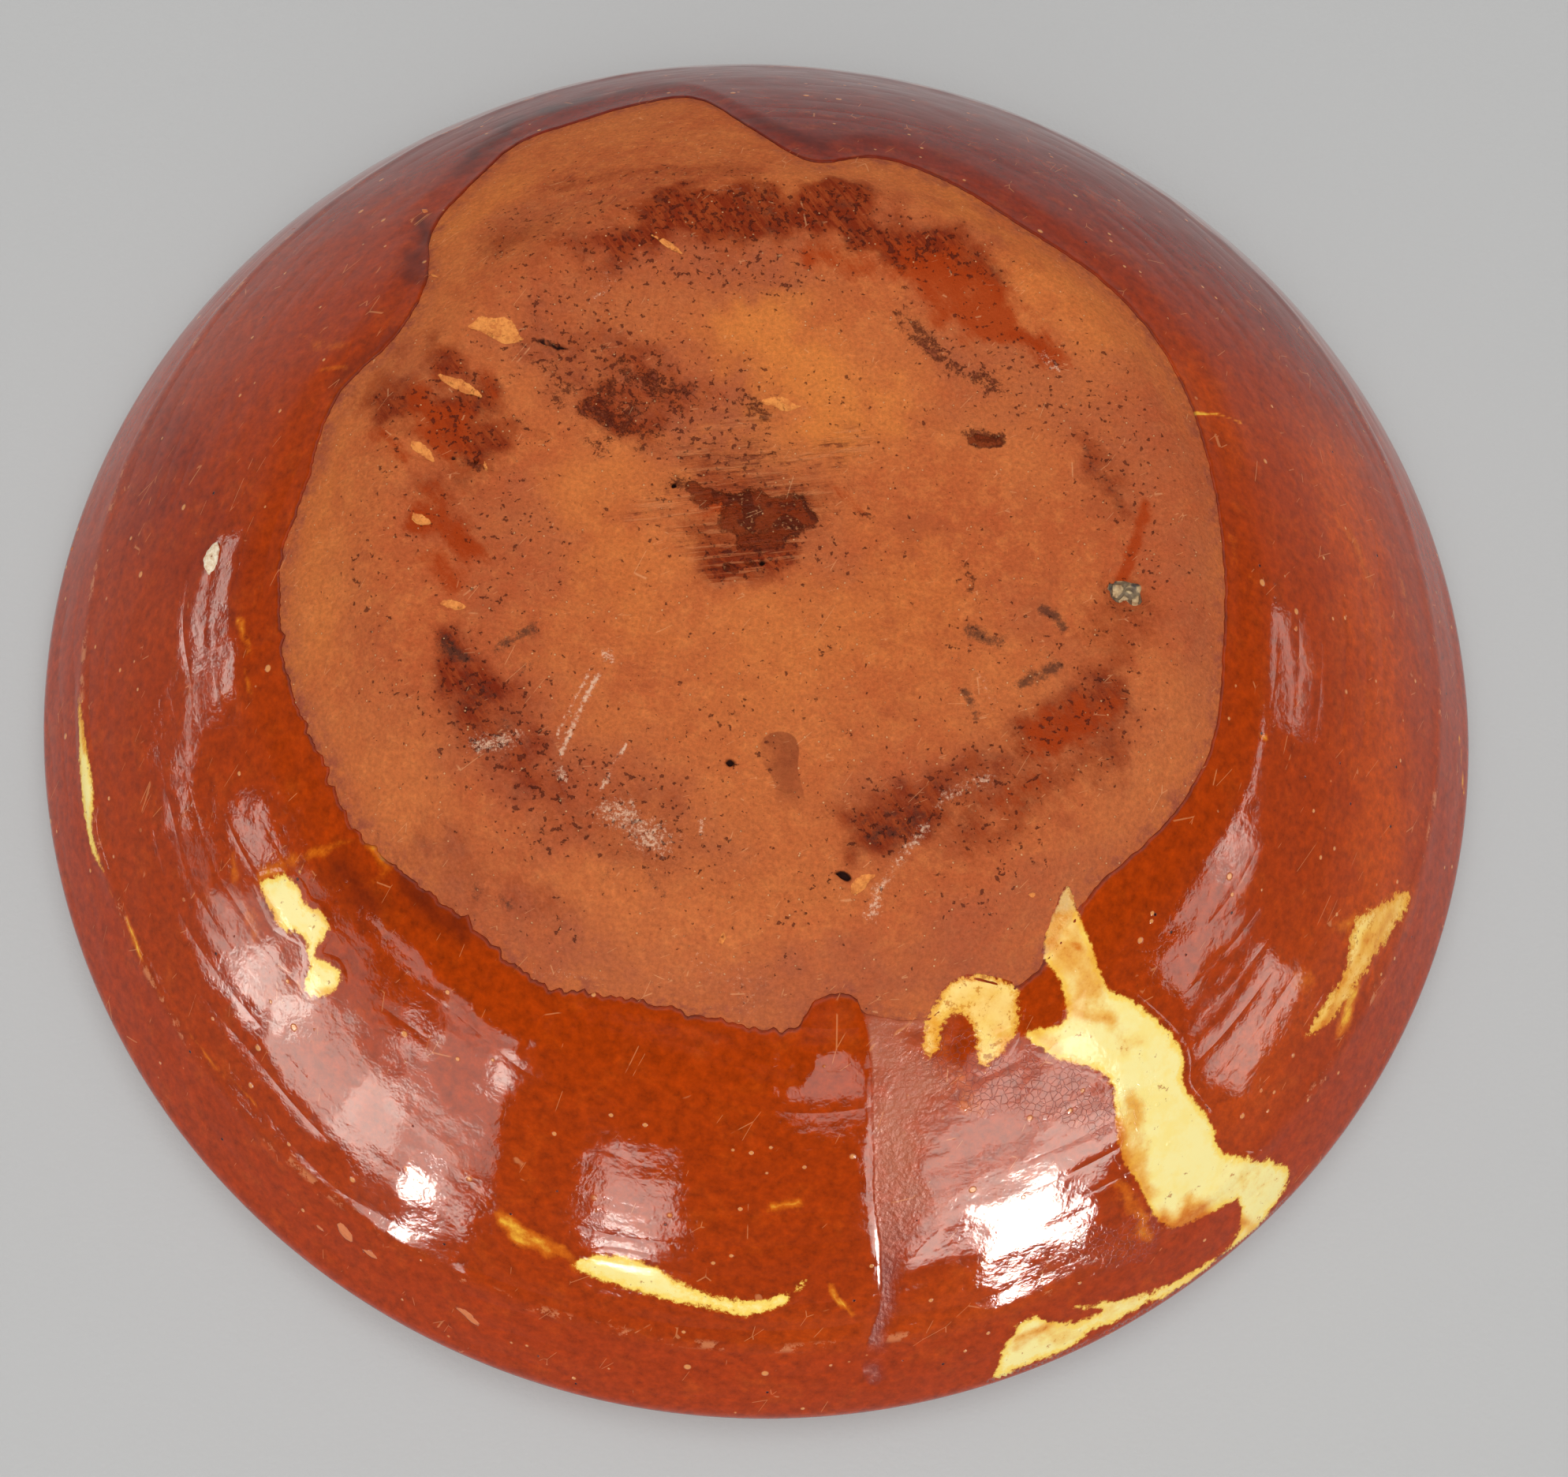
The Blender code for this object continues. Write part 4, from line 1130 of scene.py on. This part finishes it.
class DISH_OT_clay(Operator):
    """Turn the fired clay body, with its chips, pits and torn crust"""
    bl_idname = "dish.clay"
    bl_label = "Clay body"

    CHIP_CARVE = 0.0004
    PIT_CARVE = 0.0011
    STONE_CARVE = 0.0012
    STONE_PIT_RADIUS = 0.0046
    MOST_RAISED = 0.00006

    def execute(self, context):
        sizes = context.scene.dish_sizes
        outside, inside = outside_line(sizes), inside_line(sizes)
        edge = GlazeEdge(outside, sizes)
        end, bare_end = outside.ways[-1], edge.ways.max()
        outer_ways = np.concatenate([
            np.arange(0, FINE_RINGS_END, FINE_RING), np.arange(FINE_RINGS_END, bare_end + 0.002, WALL_RING),
            np.linspace(bare_end + 0.003, end - 0.012, 14), np.linspace(end - 0.011, end, 12)])
        inner = inside.at(np.linspace(0, inside.ways[-1], 30))[::-1]
        shape = spun(to_axis(np.concatenate([outside.at(outer_ways), inner])), CLAY_STEPS)
        marks = seen_at(np.reshape([m[:4] for m in CLAY_CHIPS + CLAY_PITS], (-1, 2)), outside)
        refine(shape, marks, MARK_REACH, 2)
        mesh = as_mesh("clay", shape)
        points, rank = places(mesh), ranks(mesh)
        ways = np.interp(rank, np.arange(len(outer_ways)), outer_ways)
        self.wear_surface(mesh, points, ways, rank < len(outer_ways) - 0.5, outside, edge, sizes)
        finish_piece("clay", mesh, shared_material(clay_material, context), "fired_clay", "clay_body")
        return {"FINISHED"}

    def wear_surface(self, mesh, points, ways, outer, line, edge, sizes):
        """Give the outside its relief, and keep what is painted on it."""
        bare = outer & (ways < edge.ways.max() + 0.004)
        spots = points[bare]
        fields = {name: painted(spots, strokes, line) for name, strokes in CLAY_PAINT.items()}
        fields["chip_depth"] = leaf_depth(spots, CLAY_CHIPS, line)
        fields["pit_depth"] = leaf_depth(spots, CLAY_PITS, line)
        plan = from_above(spots)
        fields["drip_depth"] = distance_inside(plan, smooth_loop(plan_of(DRIP_STAIN, line)))
        fields["drip"] = painted(spots, DRIP_FADE, line)
        fields["from_glaze"] = edge.start(angles_of(spots)) - ways[bare]

        stone_low, stone_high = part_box("grit_stone")
        stone = (stone_low + stone_high) / 2
        from_stone = abs(plan - complex(stone.x, stone.y))
        lines = spots * (0.15, 1, 1)
        carve = self.CHIP_CARVE * eased(fields["chip_depth"] / 0.0005 + 0.3)
        carve += self.PIT_CARVE * eased(fields["pit_depth"] / 0.0008 + 0.3)
        carve += fields["drag"] * (0.00006 + 0.00006 * waves(lines, 0.0012, 21))
        into_pit = self.STONE_PIT_RADIUS - from_stone + 0.0006 * waves(spots, 0.004, 22)
        carve += self.STONE_CARVE * eased(into_pit / 0.0012)
        build_up = fields["crust"] * (0.00012 + 0.00010 * waves(spots, 0.0018, 23))

        off = np.zeros(len(points))
        off[outer] = outside_relief(points[outer], ways[outer], line, sizes)
        off[bare] += np.minimum(build_up - carve, self.MOST_RAISED)
        moved = turned_to(line.at(ways, off), angles_of(points))
        move_to(mesh, np.where(outer[:, None], moved, points))
        for name, values in fields.items():
            whole = np.full(len(points), FAR_OUTSIDE if name.endswith("depth") else 0.0)
            whole[bare] = values
            keep_field(mesh, name, whole)


def paint_glazed(mesh, points, ways, line, edge, sizes):
    """Keep what is painted on a glazed surface."""
    keep_field(mesh, "past", ways - edge.start(angles_of(points)))
    keep_field(mesh, "ridge", ways - ridge_way(line, sizes))
    keep_field(mesh, "ring_turns", ring_turns(points, ways, sizes))
    keep_field(mesh, "dry_depth", distance_inside(from_above(points), edge.dry_run))
    keep_field(mesh, "chip_depth", leaf_depth(points, GLAZE_CHIPS, line))
    for name, strokes in GLAZE_PAINT.items():
        keep_field(mesh, name, painted(points, strokes, line))


class DISH_OT_outer_glaze(Operator):
    """Coat the outside, from the irregular glaze line to the lip"""
    bl_idname = "dish.outer_glaze"
    bl_label = "Outer glaze"

    def execute(self, context):
        sizes = context.scene.dish_sizes
        line = outside_line(sizes)
        edge = GlazeEdge(line, sizes)
        end = line.way_at_height(COAT_END_HEIGHT)
        # The profile runs from the edge over the coat to the lip, then back along its hidden side
        near = np.array([0, 0.12, 0.3, 0.55, 0.85, 1.2, 1.6, 2.1, 2.7, 3.5, 4.5, 6.0]) * MM
        share = np.concatenate([np.linspace(0, 0.9, 54)[1:], np.linspace(0.9, 1, 9)[1:]])
        back = np.linspace(1, 0, 10)
        rank_near = np.concatenate([near, np.full(len(share), near[-1]), np.full(len(back), near[3])])
        rank_share = np.concatenate([np.zeros(len(near)), share, back])
        front = len(near) + len(share)
        mean = edge.ways.mean()
        even_ways = mean + rank_near + rank_share * (end - mean - rank_near)
        even_off = np.where(np.arange(len(even_ways)) < front, sizes.coat, COAT_BACK)
        shape = spun(line.at(even_ways, even_off), OUTER_GLAZE_STEPS, closed=True)
        mesh = as_mesh("outer_glaze_coat", shape)

        points, rank = places(mesh), ranks(mesh).round().astype(int)
        angle = angles_of(points)
        start = edge.start(angle)
        past = rank_near[rank] + rank_share[rank] * (end - start - rank_near[rank])
        ways = start + past
        even = turned_to(line.at(ways), angle)
        relief = outside_relief(even, ways, line, sizes)
        thick = edge.thickness(past, even)
        thick *= 0.1 + 0.9 * np.sqrt(np.clip((end - ways) / (1.2 * MM), 0, 1))
        off = np.where(rank < front, thick - EDGE_SINK * (past < 0.01 * MM), COAT_BACK)
        off = np.where(rank == len(rank_near) - 1, -END_SINK, off)
        move_to(mesh, turned_to(line.at(ways, off + relief), angle))
        paint_glazed(mesh, even, ways, line, edge, sizes)
        material = shared_material(glaze_material, context)
        finish_piece("outer_glaze_coat", mesh, material, "outer_glaze", "outer_glaze")
        return {"FINISHED"}


class DISH_OT_inner_glaze(Operator):
    """Coat the inside"""
    bl_idname = "dish.inner_glaze"
    bl_label = "Inner glaze"

    def execute(self, context):
        sizes = context.scene.dish_sizes
        line = inside_line(sizes)
        end = line.way_at_height(COAT_END_HEIGHT)
        ways = np.concatenate([np.linspace(0, end, INNER_RINGS), np.linspace(end, 0, 14)])
        off = np.concatenate([np.full(INNER_RINGS, -sizes.coat), np.full(14, -COAT_BACK)])
        mesh = as_mesh("inner_glaze_coat", spun(to_axis(line.at(ways, off)), INNER_GLAZE_STEPS))
        points = places(mesh)
        ways = np.interp(np.hypot(points[:, 0], points[:, 1]), line.points.real, line.ways)
        ripple = 0.00008 * np.sin(math.tau * ways / sizes.ring_spacing + angles_of(points))
        lift = (ripple + 0.0001 * waves(points, 0.05, 31)) * eased(ways / 0.02)
        points[:, 2] += np.where(ranks(mesh).round() < INNER_RINGS - 2, lift, 0)
        move_to(mesh, points)
        fields = {"past": 0.05, "ridge": -0.05, "dry_depth": FAR_OUTSIDE, "chip_depth": FAR_OUTSIDE}
        for name, value in fields.items():
            keep_field(mesh, name, np.full(len(points), value))
        material = shared_material(glaze_material, context)
        finish_piece("inner_glaze_coat", mesh, material, "inner_glaze", "inner_glaze")
        return {"FINISHED"}


def slip_sheet(name, loop, line, sizes):
    """A fine sheet that lies on the clay, over this loop and a margin round it."""
    corner = SLIP_MARGIN * (1 + 1j)
    low = complex(loop.real.min(), loop.imag.min()) - corner
    span = complex(loop.real.max(), loop.imag.max()) + corner - low
    centre = low + span / 2
    shape = bmesh.new()
    stretch = Matrix.Diagonal((span.real, span.imag, 1, 1))
    bmesh.ops.create_grid(
        shape, x_segments=math.ceil(span.real / SLIP_CELL), y_segments=math.ceil(span.imag / SLIP_CELL),
        size=0.5, matrix=Matrix.Translation((centre.real, centre.imag, 0)) @ stretch)
    plan = np.array([complex(v.co.x, v.co.y) for v in shape.verts])
    outside = (distance_inside(plan, loop) < -SLIP_MARGIN) | (abs(plan) > sizes.rim_radius - SLIP_RIM_MARGIN)
    bmesh.ops.delete(shape, geom=[v for v, out in zip(shape.verts, outside) if out], context="VERTS")
    bmesh.ops.delete(shape, geom=[v for v in shape.verts if not v.link_faces], context="VERTS")
    for vert in shape.verts:
        vert.co.z = line.at(line.way_at_radius(math.hypot(vert.co.x, vert.co.y))).imag
    return as_mesh(name, shape)


def slip_patch(name, outline, recipe, context, slot, node):
    """A thin lens of slip under its glaze, inside this outline."""
    sizes = context.scene.dish_sizes
    line = outside_line(sizes)
    edge = GlazeEdge(line, sizes)
    loop = smooth_loop(plan_of(outline, line))
    mesh = slip_sheet(name, loop, line, sizes)
    points = places(mesh)
    plan = from_above(points)
    depth = distance_inside(plan, loop)
    ways = line.way_at_radius(abs(plan))
    angle = np.angle(plan)
    past = ways - edge.start(angle)
    rise = sizes.slip_rise * (0.5 + eased(depth / (4 * MM)))
    rise -= 0.10 * MM * eased((-depth - 0.5 * MM) / (SLIP_MARGIN - 0.5 * MM))
    rise -= 0.35 * MM * eased(-depth / (0.5 * MM)) * eased(-past / (0.5 * MM))
    relief = outside_relief(points, ways, line, sizes)
    cover = edge.thickness(np.maximum(past, 0), points)
    move_to(mesh, turned_to(line.at(ways, cover + relief + rise), angle))
    paint_glazed(mesh, points, ways, line, edge, sizes)
    keep_field(mesh, "slip_depth", depth)
    keep_field(mesh, "burnt", painted(points, BURNT_SLIP, line))
    keep_field(mesh, "dry_slip", painted(points, DRY_SLIP, line) * eased(-past / (1 * MM)))
    thicken(mesh, SLIP_THICKNESS)
    finish_piece(name, mesh, shared_material(recipe, context), slot, node)


class DISH_OT_slip(Operator):
    """Lay the splashes and streaks of slip"""
    bl_idname = "dish.slip"
    bl_label = "Slip"

    def execute(self, context):
        thick, thin = yellow_slip_material, thin_slip_material
        slip_patch("large_splash", LARGE_SPLASH, thick, context, "yellow_slip", "slip_splash_large")
        slip_patch("left_splash", LEFT_SPLASH, thick, context, "yellow_slip", "slip_splash_left")
        slip_patch("front_streak", FRONT_STREAK, thick, context, "yellow_slip", "slip_streak_front")
        slip_patch("right_streak", RIGHT_STREAK, thin, context, "thin_slip", "slip_streak_right")
        slip_patch("ridge_streak", RIDGE_STREAK, thick, context, "yellow_slip", "slip_streak_ridge")
        slip_patch("small_lobe", SMALL_LOBE, thin, context, "thin_slip", "slip_lobe")
        return {"FINISHED"}


class DISH_OT_inclusions(Operator):
    """Set the grit stone in its pit and the lime speck in the glaze"""
    bl_idname = "dish.inclusions"
    bl_label = "Stone and lime speck"

    BREAKS = 9
    BREAK_DEPTHS = (0.70, 0.72)
    FLATTENED = 0.85

    def execute(self, context):
        self.lump("foot_stone", "grit_stone", 41, 0.30, shared_material(stone_material, context), "grit")
        self.lump("white_speck", "lime_speck", 42, 0.22, shared_material(lime_material, context), "lime")
        return {"FINISHED"}

    def lump(self, name, node, seed, roughness, material, slot):
        """A broken lump that fills its node's box, its corners cut by flat breaks."""
        low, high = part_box(node)
        half = np.array(high - low) / 2
        shape = bmesh.new()
        bmesh.ops.create_icosphere(shape, subdivisions=5, radius=1)
        pick = np.random.default_rng(seed)
        for _ in range(self.BREAKS):
            way = Vector(pick.normal(size=3)).normalized()
            for vert in shape.verts:
                past = vert.co.dot(way) - pick.uniform(*self.BREAK_DEPTHS)
                if past > 0:
                    vert.co -= past * self.FLATTENED * way
        mesh = as_mesh(name, shape)
        points = places(mesh)
        lumps = 1 + roughness * (0.4 * waves(points, 1.2, seed) + 0.25 * waves(points, 0.45, seed + 1))
        points *= np.minimum(lumps, 1.25)[:, None]
        points *= half / abs(points).max(0)
        move_to(mesh, points + np.array(low + high) / 2)
        finish_piece(name, mesh, material, slot, node)


# The stage

def surface_seen(pixel, line):
    """The point that a pixel shows, and the direction that a gloss there reflects."""
    eye = np.array(photo_camera()[0])
    point = seen_at([pixel], line)[0]
    radius = math.hypot(point[0], point[1])
    normal = line.read(line.way_at_radius(radius), line.normals)
    normal = np.array([normal.real * point[0] / radius, normal.real * point[1] / radius, normal.imag])
    view = (eye - point) / np.linalg.norm(eye - point)
    return Vector(point), Vector(2 * (normal @ view) * normal - view)


class DISH_OT_stage(Operator):
    """Set out the floor, the lamps, the room light and the camera"""
    bl_idname = "dish.stage"
    bl_label = "Stage"

    # Each lamp: where it shows in the glaze, by the pixels at its left, top, right and bottom, and
    # how bright it is
    LAMPS = {
        "left_pane_1": ((105, 820), (125, 790), (150, 820), (128, 850), 6),
        "left_pane_2": ((176, 880), (240, 815), (300, 880), (240, 943), 3.5),
        "left_pane_3": ((252, 860), (290, 780), (317, 850), (295, 930), 9),
        "left_pane_4": ((354, 985), (385, 915), (440, 1000), (400, 1058), 7),
        "left_pane_5": ((297, 1050), (325, 972), (354, 1050), (325, 1131), 9),
        "left_pane_6": ((133, 985), (180, 939), (231, 985), (180, 1025), 5),
        "left_pane_7": ((312, 1240), (350, 1190), (400, 1230), (350, 1290), 14),
        "left_pane_8": ((227, 1210), (255, 1147), (297, 1215), (270, 1286), 5),
        "left_pane_9": ((240, 1300), (262, 1272), (289, 1300), (265, 1327), 18),
        "left_spot_1": ((621, 1378), (638, 1350), (655, 1378), (638, 1405), 24),
        "left_spot_2": ((498, 1330), (520, 1310), (543, 1330), (520, 1350), 14),
        "left_spot_3": ((638, 1293), (658, 1277), (678, 1293), (658, 1310), 10),
        "left_spot_4": ((442, 1420), (470, 1355), (509, 1420), (480, 1484), 8),
        "left_spot_5": ((565, 1532), (585, 1518), (605, 1532), (585, 1546), 14),
        "left_spot_6": ((195, 1040), (215, 985), (240, 1040), (215, 1097), 6),
        "left_wide": ((140, 1040), (230, 900), (330, 1010), (240, 1130), 2.5),
        "left_low_wide": ((230, 1330), (330, 1200), (440, 1330), (330, 1430), 2.5),
        "left_low": ((300, 1400), (400, 1330), (560, 1460), (440, 1510), 8),
        "left_near": ((505, 1400), (580, 1300), (650, 1400), (580, 1490), 5),
        "left_high": ((430, 1200), (470, 1150), (690, 1250), (640, 1300), 5),
        "left_hot": ((510, 1520), (525, 1500), (545, 1530), (535, 1550), 80),
        "front_pane": ((752, 1530), (800, 1490), (850, 1530), (800, 1568), 12),
        "front_hot": ((752, 1562), (790, 1558), (828, 1566), (790, 1570), 60),
        "front_high": ((1010, 1350), (1040, 1300), (1090, 1350), (1060, 1420), 6),
        "right_high": ((1130, 1340), (1260, 1300), (1380, 1330), (1260, 1380), 4),
        "right_middle": ((1110, 1440), (1250, 1390), (1410, 1400), (1280, 1450), 13),
        "right_low": ((1130, 1520), (1260, 1470), (1420, 1470), (1290, 1530), 16),
        "right_hot": ((1250, 1575), (1310, 1530), (1368, 1565), (1310, 1625), 70),
        "far_right_low": ((1450, 1170), (1530, 1080), (1620, 1130), (1540, 1210), 6),
        "far_right_middle": ((1500, 1020), (1560, 940), (1640, 1000), (1560, 1070), 10),
        "far_right_high": ((1560, 860), (1600, 700), (1660, 830), (1620, 920), 4),
        "far_right_front": ((1560, 1340), (1620, 1290), (1670, 1320), (1610, 1390), 7),
    }
    LAMP_DISTANCE = 1.5
    LAMP_CLEARANCE = 0.01
    LAMP_COLOUR = (1.0, 0.95, 0.86)
    FRONT_SIZE = 1.2
    FRONT_ELEVATION = 40
    FRONT_SIDEWAYS = 0.1

    def execute(self, context):
        scene = context.scene
        self.lay_floor(scene)
        self.light_room(scene)
        self.set_front_light(scene)
        self.set_windows(scene)
        self.place_camera(scene)
        scene.view_settings.view_transform = "Standard"
        return {"FINISHED"}

    def lay_floor(self, scene):
        stage = scene.dish_stage
        shape = bmesh.new()
        bmesh.ops.create_grid(shape, x_segments=1, y_segments=1, size=8)
        floor = bpy.data.objects.new("floor", as_mesh("floor", shape))
        scene.collection.objects.link(floor)
        r = Recipe("plain floor", stage.floor_colour)
        r.bump(r.noise(900, 3), 0.0001)
        r.done(0.9, specular=0.0)
        rays = r.node("ShaderNodeLightPath").outputs
        seen = r.most(r.most(rays["Is Camera Ray"], rays["Is Glossy Ray"]), rays["Is Transmission Ray"])
        r.feed(r.shader.inputs["Emission Color"], (1, 1, 1))
        r.feed(r.shader.inputs["Emission Strength"], r.times(seen, stage.floor_lift))
        floor.data.materials.append(r.material)

    def light_room(self, scene):
        """Room light: even up to eye level, dimmest a third of the way up and brightest at two thirds."""
        stage = scene.dish_stage
        world = bpy.data.worlds.new("room")
        world.use_nodes = True
        scene.world = world
        nodes, links = world.node_tree.nodes, world.node_tree.links
        height = nodes.new("ShaderNodeSeparateXYZ")
        links.new(nodes.new("ShaderNodeTexCoord").outputs["Generated"], height.inputs[0])
        ramp = nodes.new("ShaderNodeValToRGB")
        ramp.color_ramp.interpolation = "EASE"
        links.new(height.outputs["Z"], ramp.inputs[0])
        stops = ramp.color_ramp.elements
        levels = {0.0: 1.5, 0.55: 0.65, 0.85: stage.overhead / stage.horizon, 1.0: 1.0}
        for height_share in list(levels)[1:-1]:
            stops.new(height_share)
        for stop, (height_share, bright) in zip(stops, levels.items()):
            stop.position, stop.color = height_share, (bright, bright, bright, 1)
        background = nodes["Background"]
        links.new(ramp.outputs["Color"], background.inputs["Color"])
        background.inputs["Strength"].default_value = stage.horizon

    def hang_lamp(self, scene, name, size, energy, centre, away):
        """A soft rectangular lamp at this centre. It shines against this direction."""
        lamp = bpy.data.lights.new(name, "AREA")
        lamp.shape = "RECTANGLE"
        lamp.size, lamp.size_y = size
        lamp.energy = energy
        obj = bpy.data.objects.new(name, lamp)
        obj.matrix_world = Matrix.Translation(centre) @ away.to_track_quat("Z", "Y").to_matrix().to_4x4()
        scene.collection.objects.link(obj)
        return obj

    def set_front_light(self, scene):
        """A wide soft light from the front, which the gloss doesn't show."""
        rise = math.radians(self.FRONT_ELEVATION)
        away = Vector((self.FRONT_SIDEWAYS, -math.cos(rise), math.sin(rise)))
        size = (self.FRONT_SIZE, self.FRONT_SIZE)
        centre = AIM + self.LAMP_DISTANCE * away
        lamp = self.hang_lamp(scene, "front_light", size, scene.dish_stage.front, centre, away)
        lamp.visible_glossy = False

    def set_windows(self, scene):
        """Soft panes of light, each where the glaze shows it at its pixels. They light nothing else."""
        line = outside_line(scene.dish_sizes)
        for name, (*corners, bright) in self.LAMPS.items():
            seen = [surface_seen(pixel, line) for pixel in corners]
            left, top, right, bottom = (point + towards * self.LAMP_DISTANCE for point, towards in seen)
            centre = (left + right) / 2
            width, height = (right - left).length, abs(top.z - bottom.z)
            centre.z = max((top.z + bottom.z) / 2, height / 2 + self.LAMP_CLEARANCE)
            energy = bright * math.pi * width * height * scene.dish_stage.windows
            away = centre - sum((point for point, towards in seen), Vector()) / 4
            lamp = self.hang_lamp(scene, name, (width, height), energy, centre, away)
            lamp.data.color = self.LAMP_COLOUR
            lamp.visible_diffuse = False

    def place_camera(self, scene):
        eye, right, up, forward = photo_camera()
        camera = bpy.data.cameras.new("photo view")
        camera.sensor_width = SENSOR_WIDTH
        camera.lens = FOCAL_PIXELS / FRAME_WIDTH * SENSOR_WIDTH
        camera.clip_start = 0.01
        obj = bpy.data.objects.new("photo view", camera)
        turn = Matrix((right, up, -forward)).transposed().to_4x4()
        obj.matrix_world = Matrix.Translation(eye) @ turn
        scene.collection.objects.link(obj)
        scene.camera = obj


class DISH_PT_panel(Panel):
    bl_label = "Earthenware dish"
    bl_idname = "DISH_PT_panel"
    bl_space_type = "VIEW_3D"
    bl_region_type = "UI"
    bl_category = "Dish"

    def draw(self, context):
        for group in GROUPS:
            settings = getattr(context.scene, group)
            box = self.layout.box()
            for name in settings.__annotations__:
                box.prop(settings, name)
        for step in STEPS:
            self.layout.operator(step.bl_idname)


GROUPS = {"dish_sizes": DishSizes, "dish_colours": DishColours, "dish_stage": StageSettings}
STEPS = [
    DISH_OT_clay, DISH_OT_outer_glaze, DISH_OT_inner_glaze, DISH_OT_slip, DISH_OT_inclusions, DISH_OT_stage,
]
CLASSES = [*GROUPS.values(), *STEPS, DISH_PT_panel]


def register():
    for cls in CLASSES:
        bpy.utils.register_class(cls)
    for name, group in GROUPS.items():
        setattr(bpy.types.Scene, name, PointerProperty(type=group))


def unregister():
    for name in GROUPS:
        delattr(bpy.types.Scene, name)
    for cls in reversed(CLASSES):
        bpy.utils.unregister_class(cls)


def main():
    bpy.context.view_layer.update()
    register()
    bpy.ops.dish.clay()
    bpy.ops.dish.outer_glaze()
    bpy.ops.dish.inner_glaze()
    bpy.ops.dish.slip()
    bpy.ops.dish.inclusions()
    bpy.ops.dish.stage()


if __name__ == "__main__":
    main()
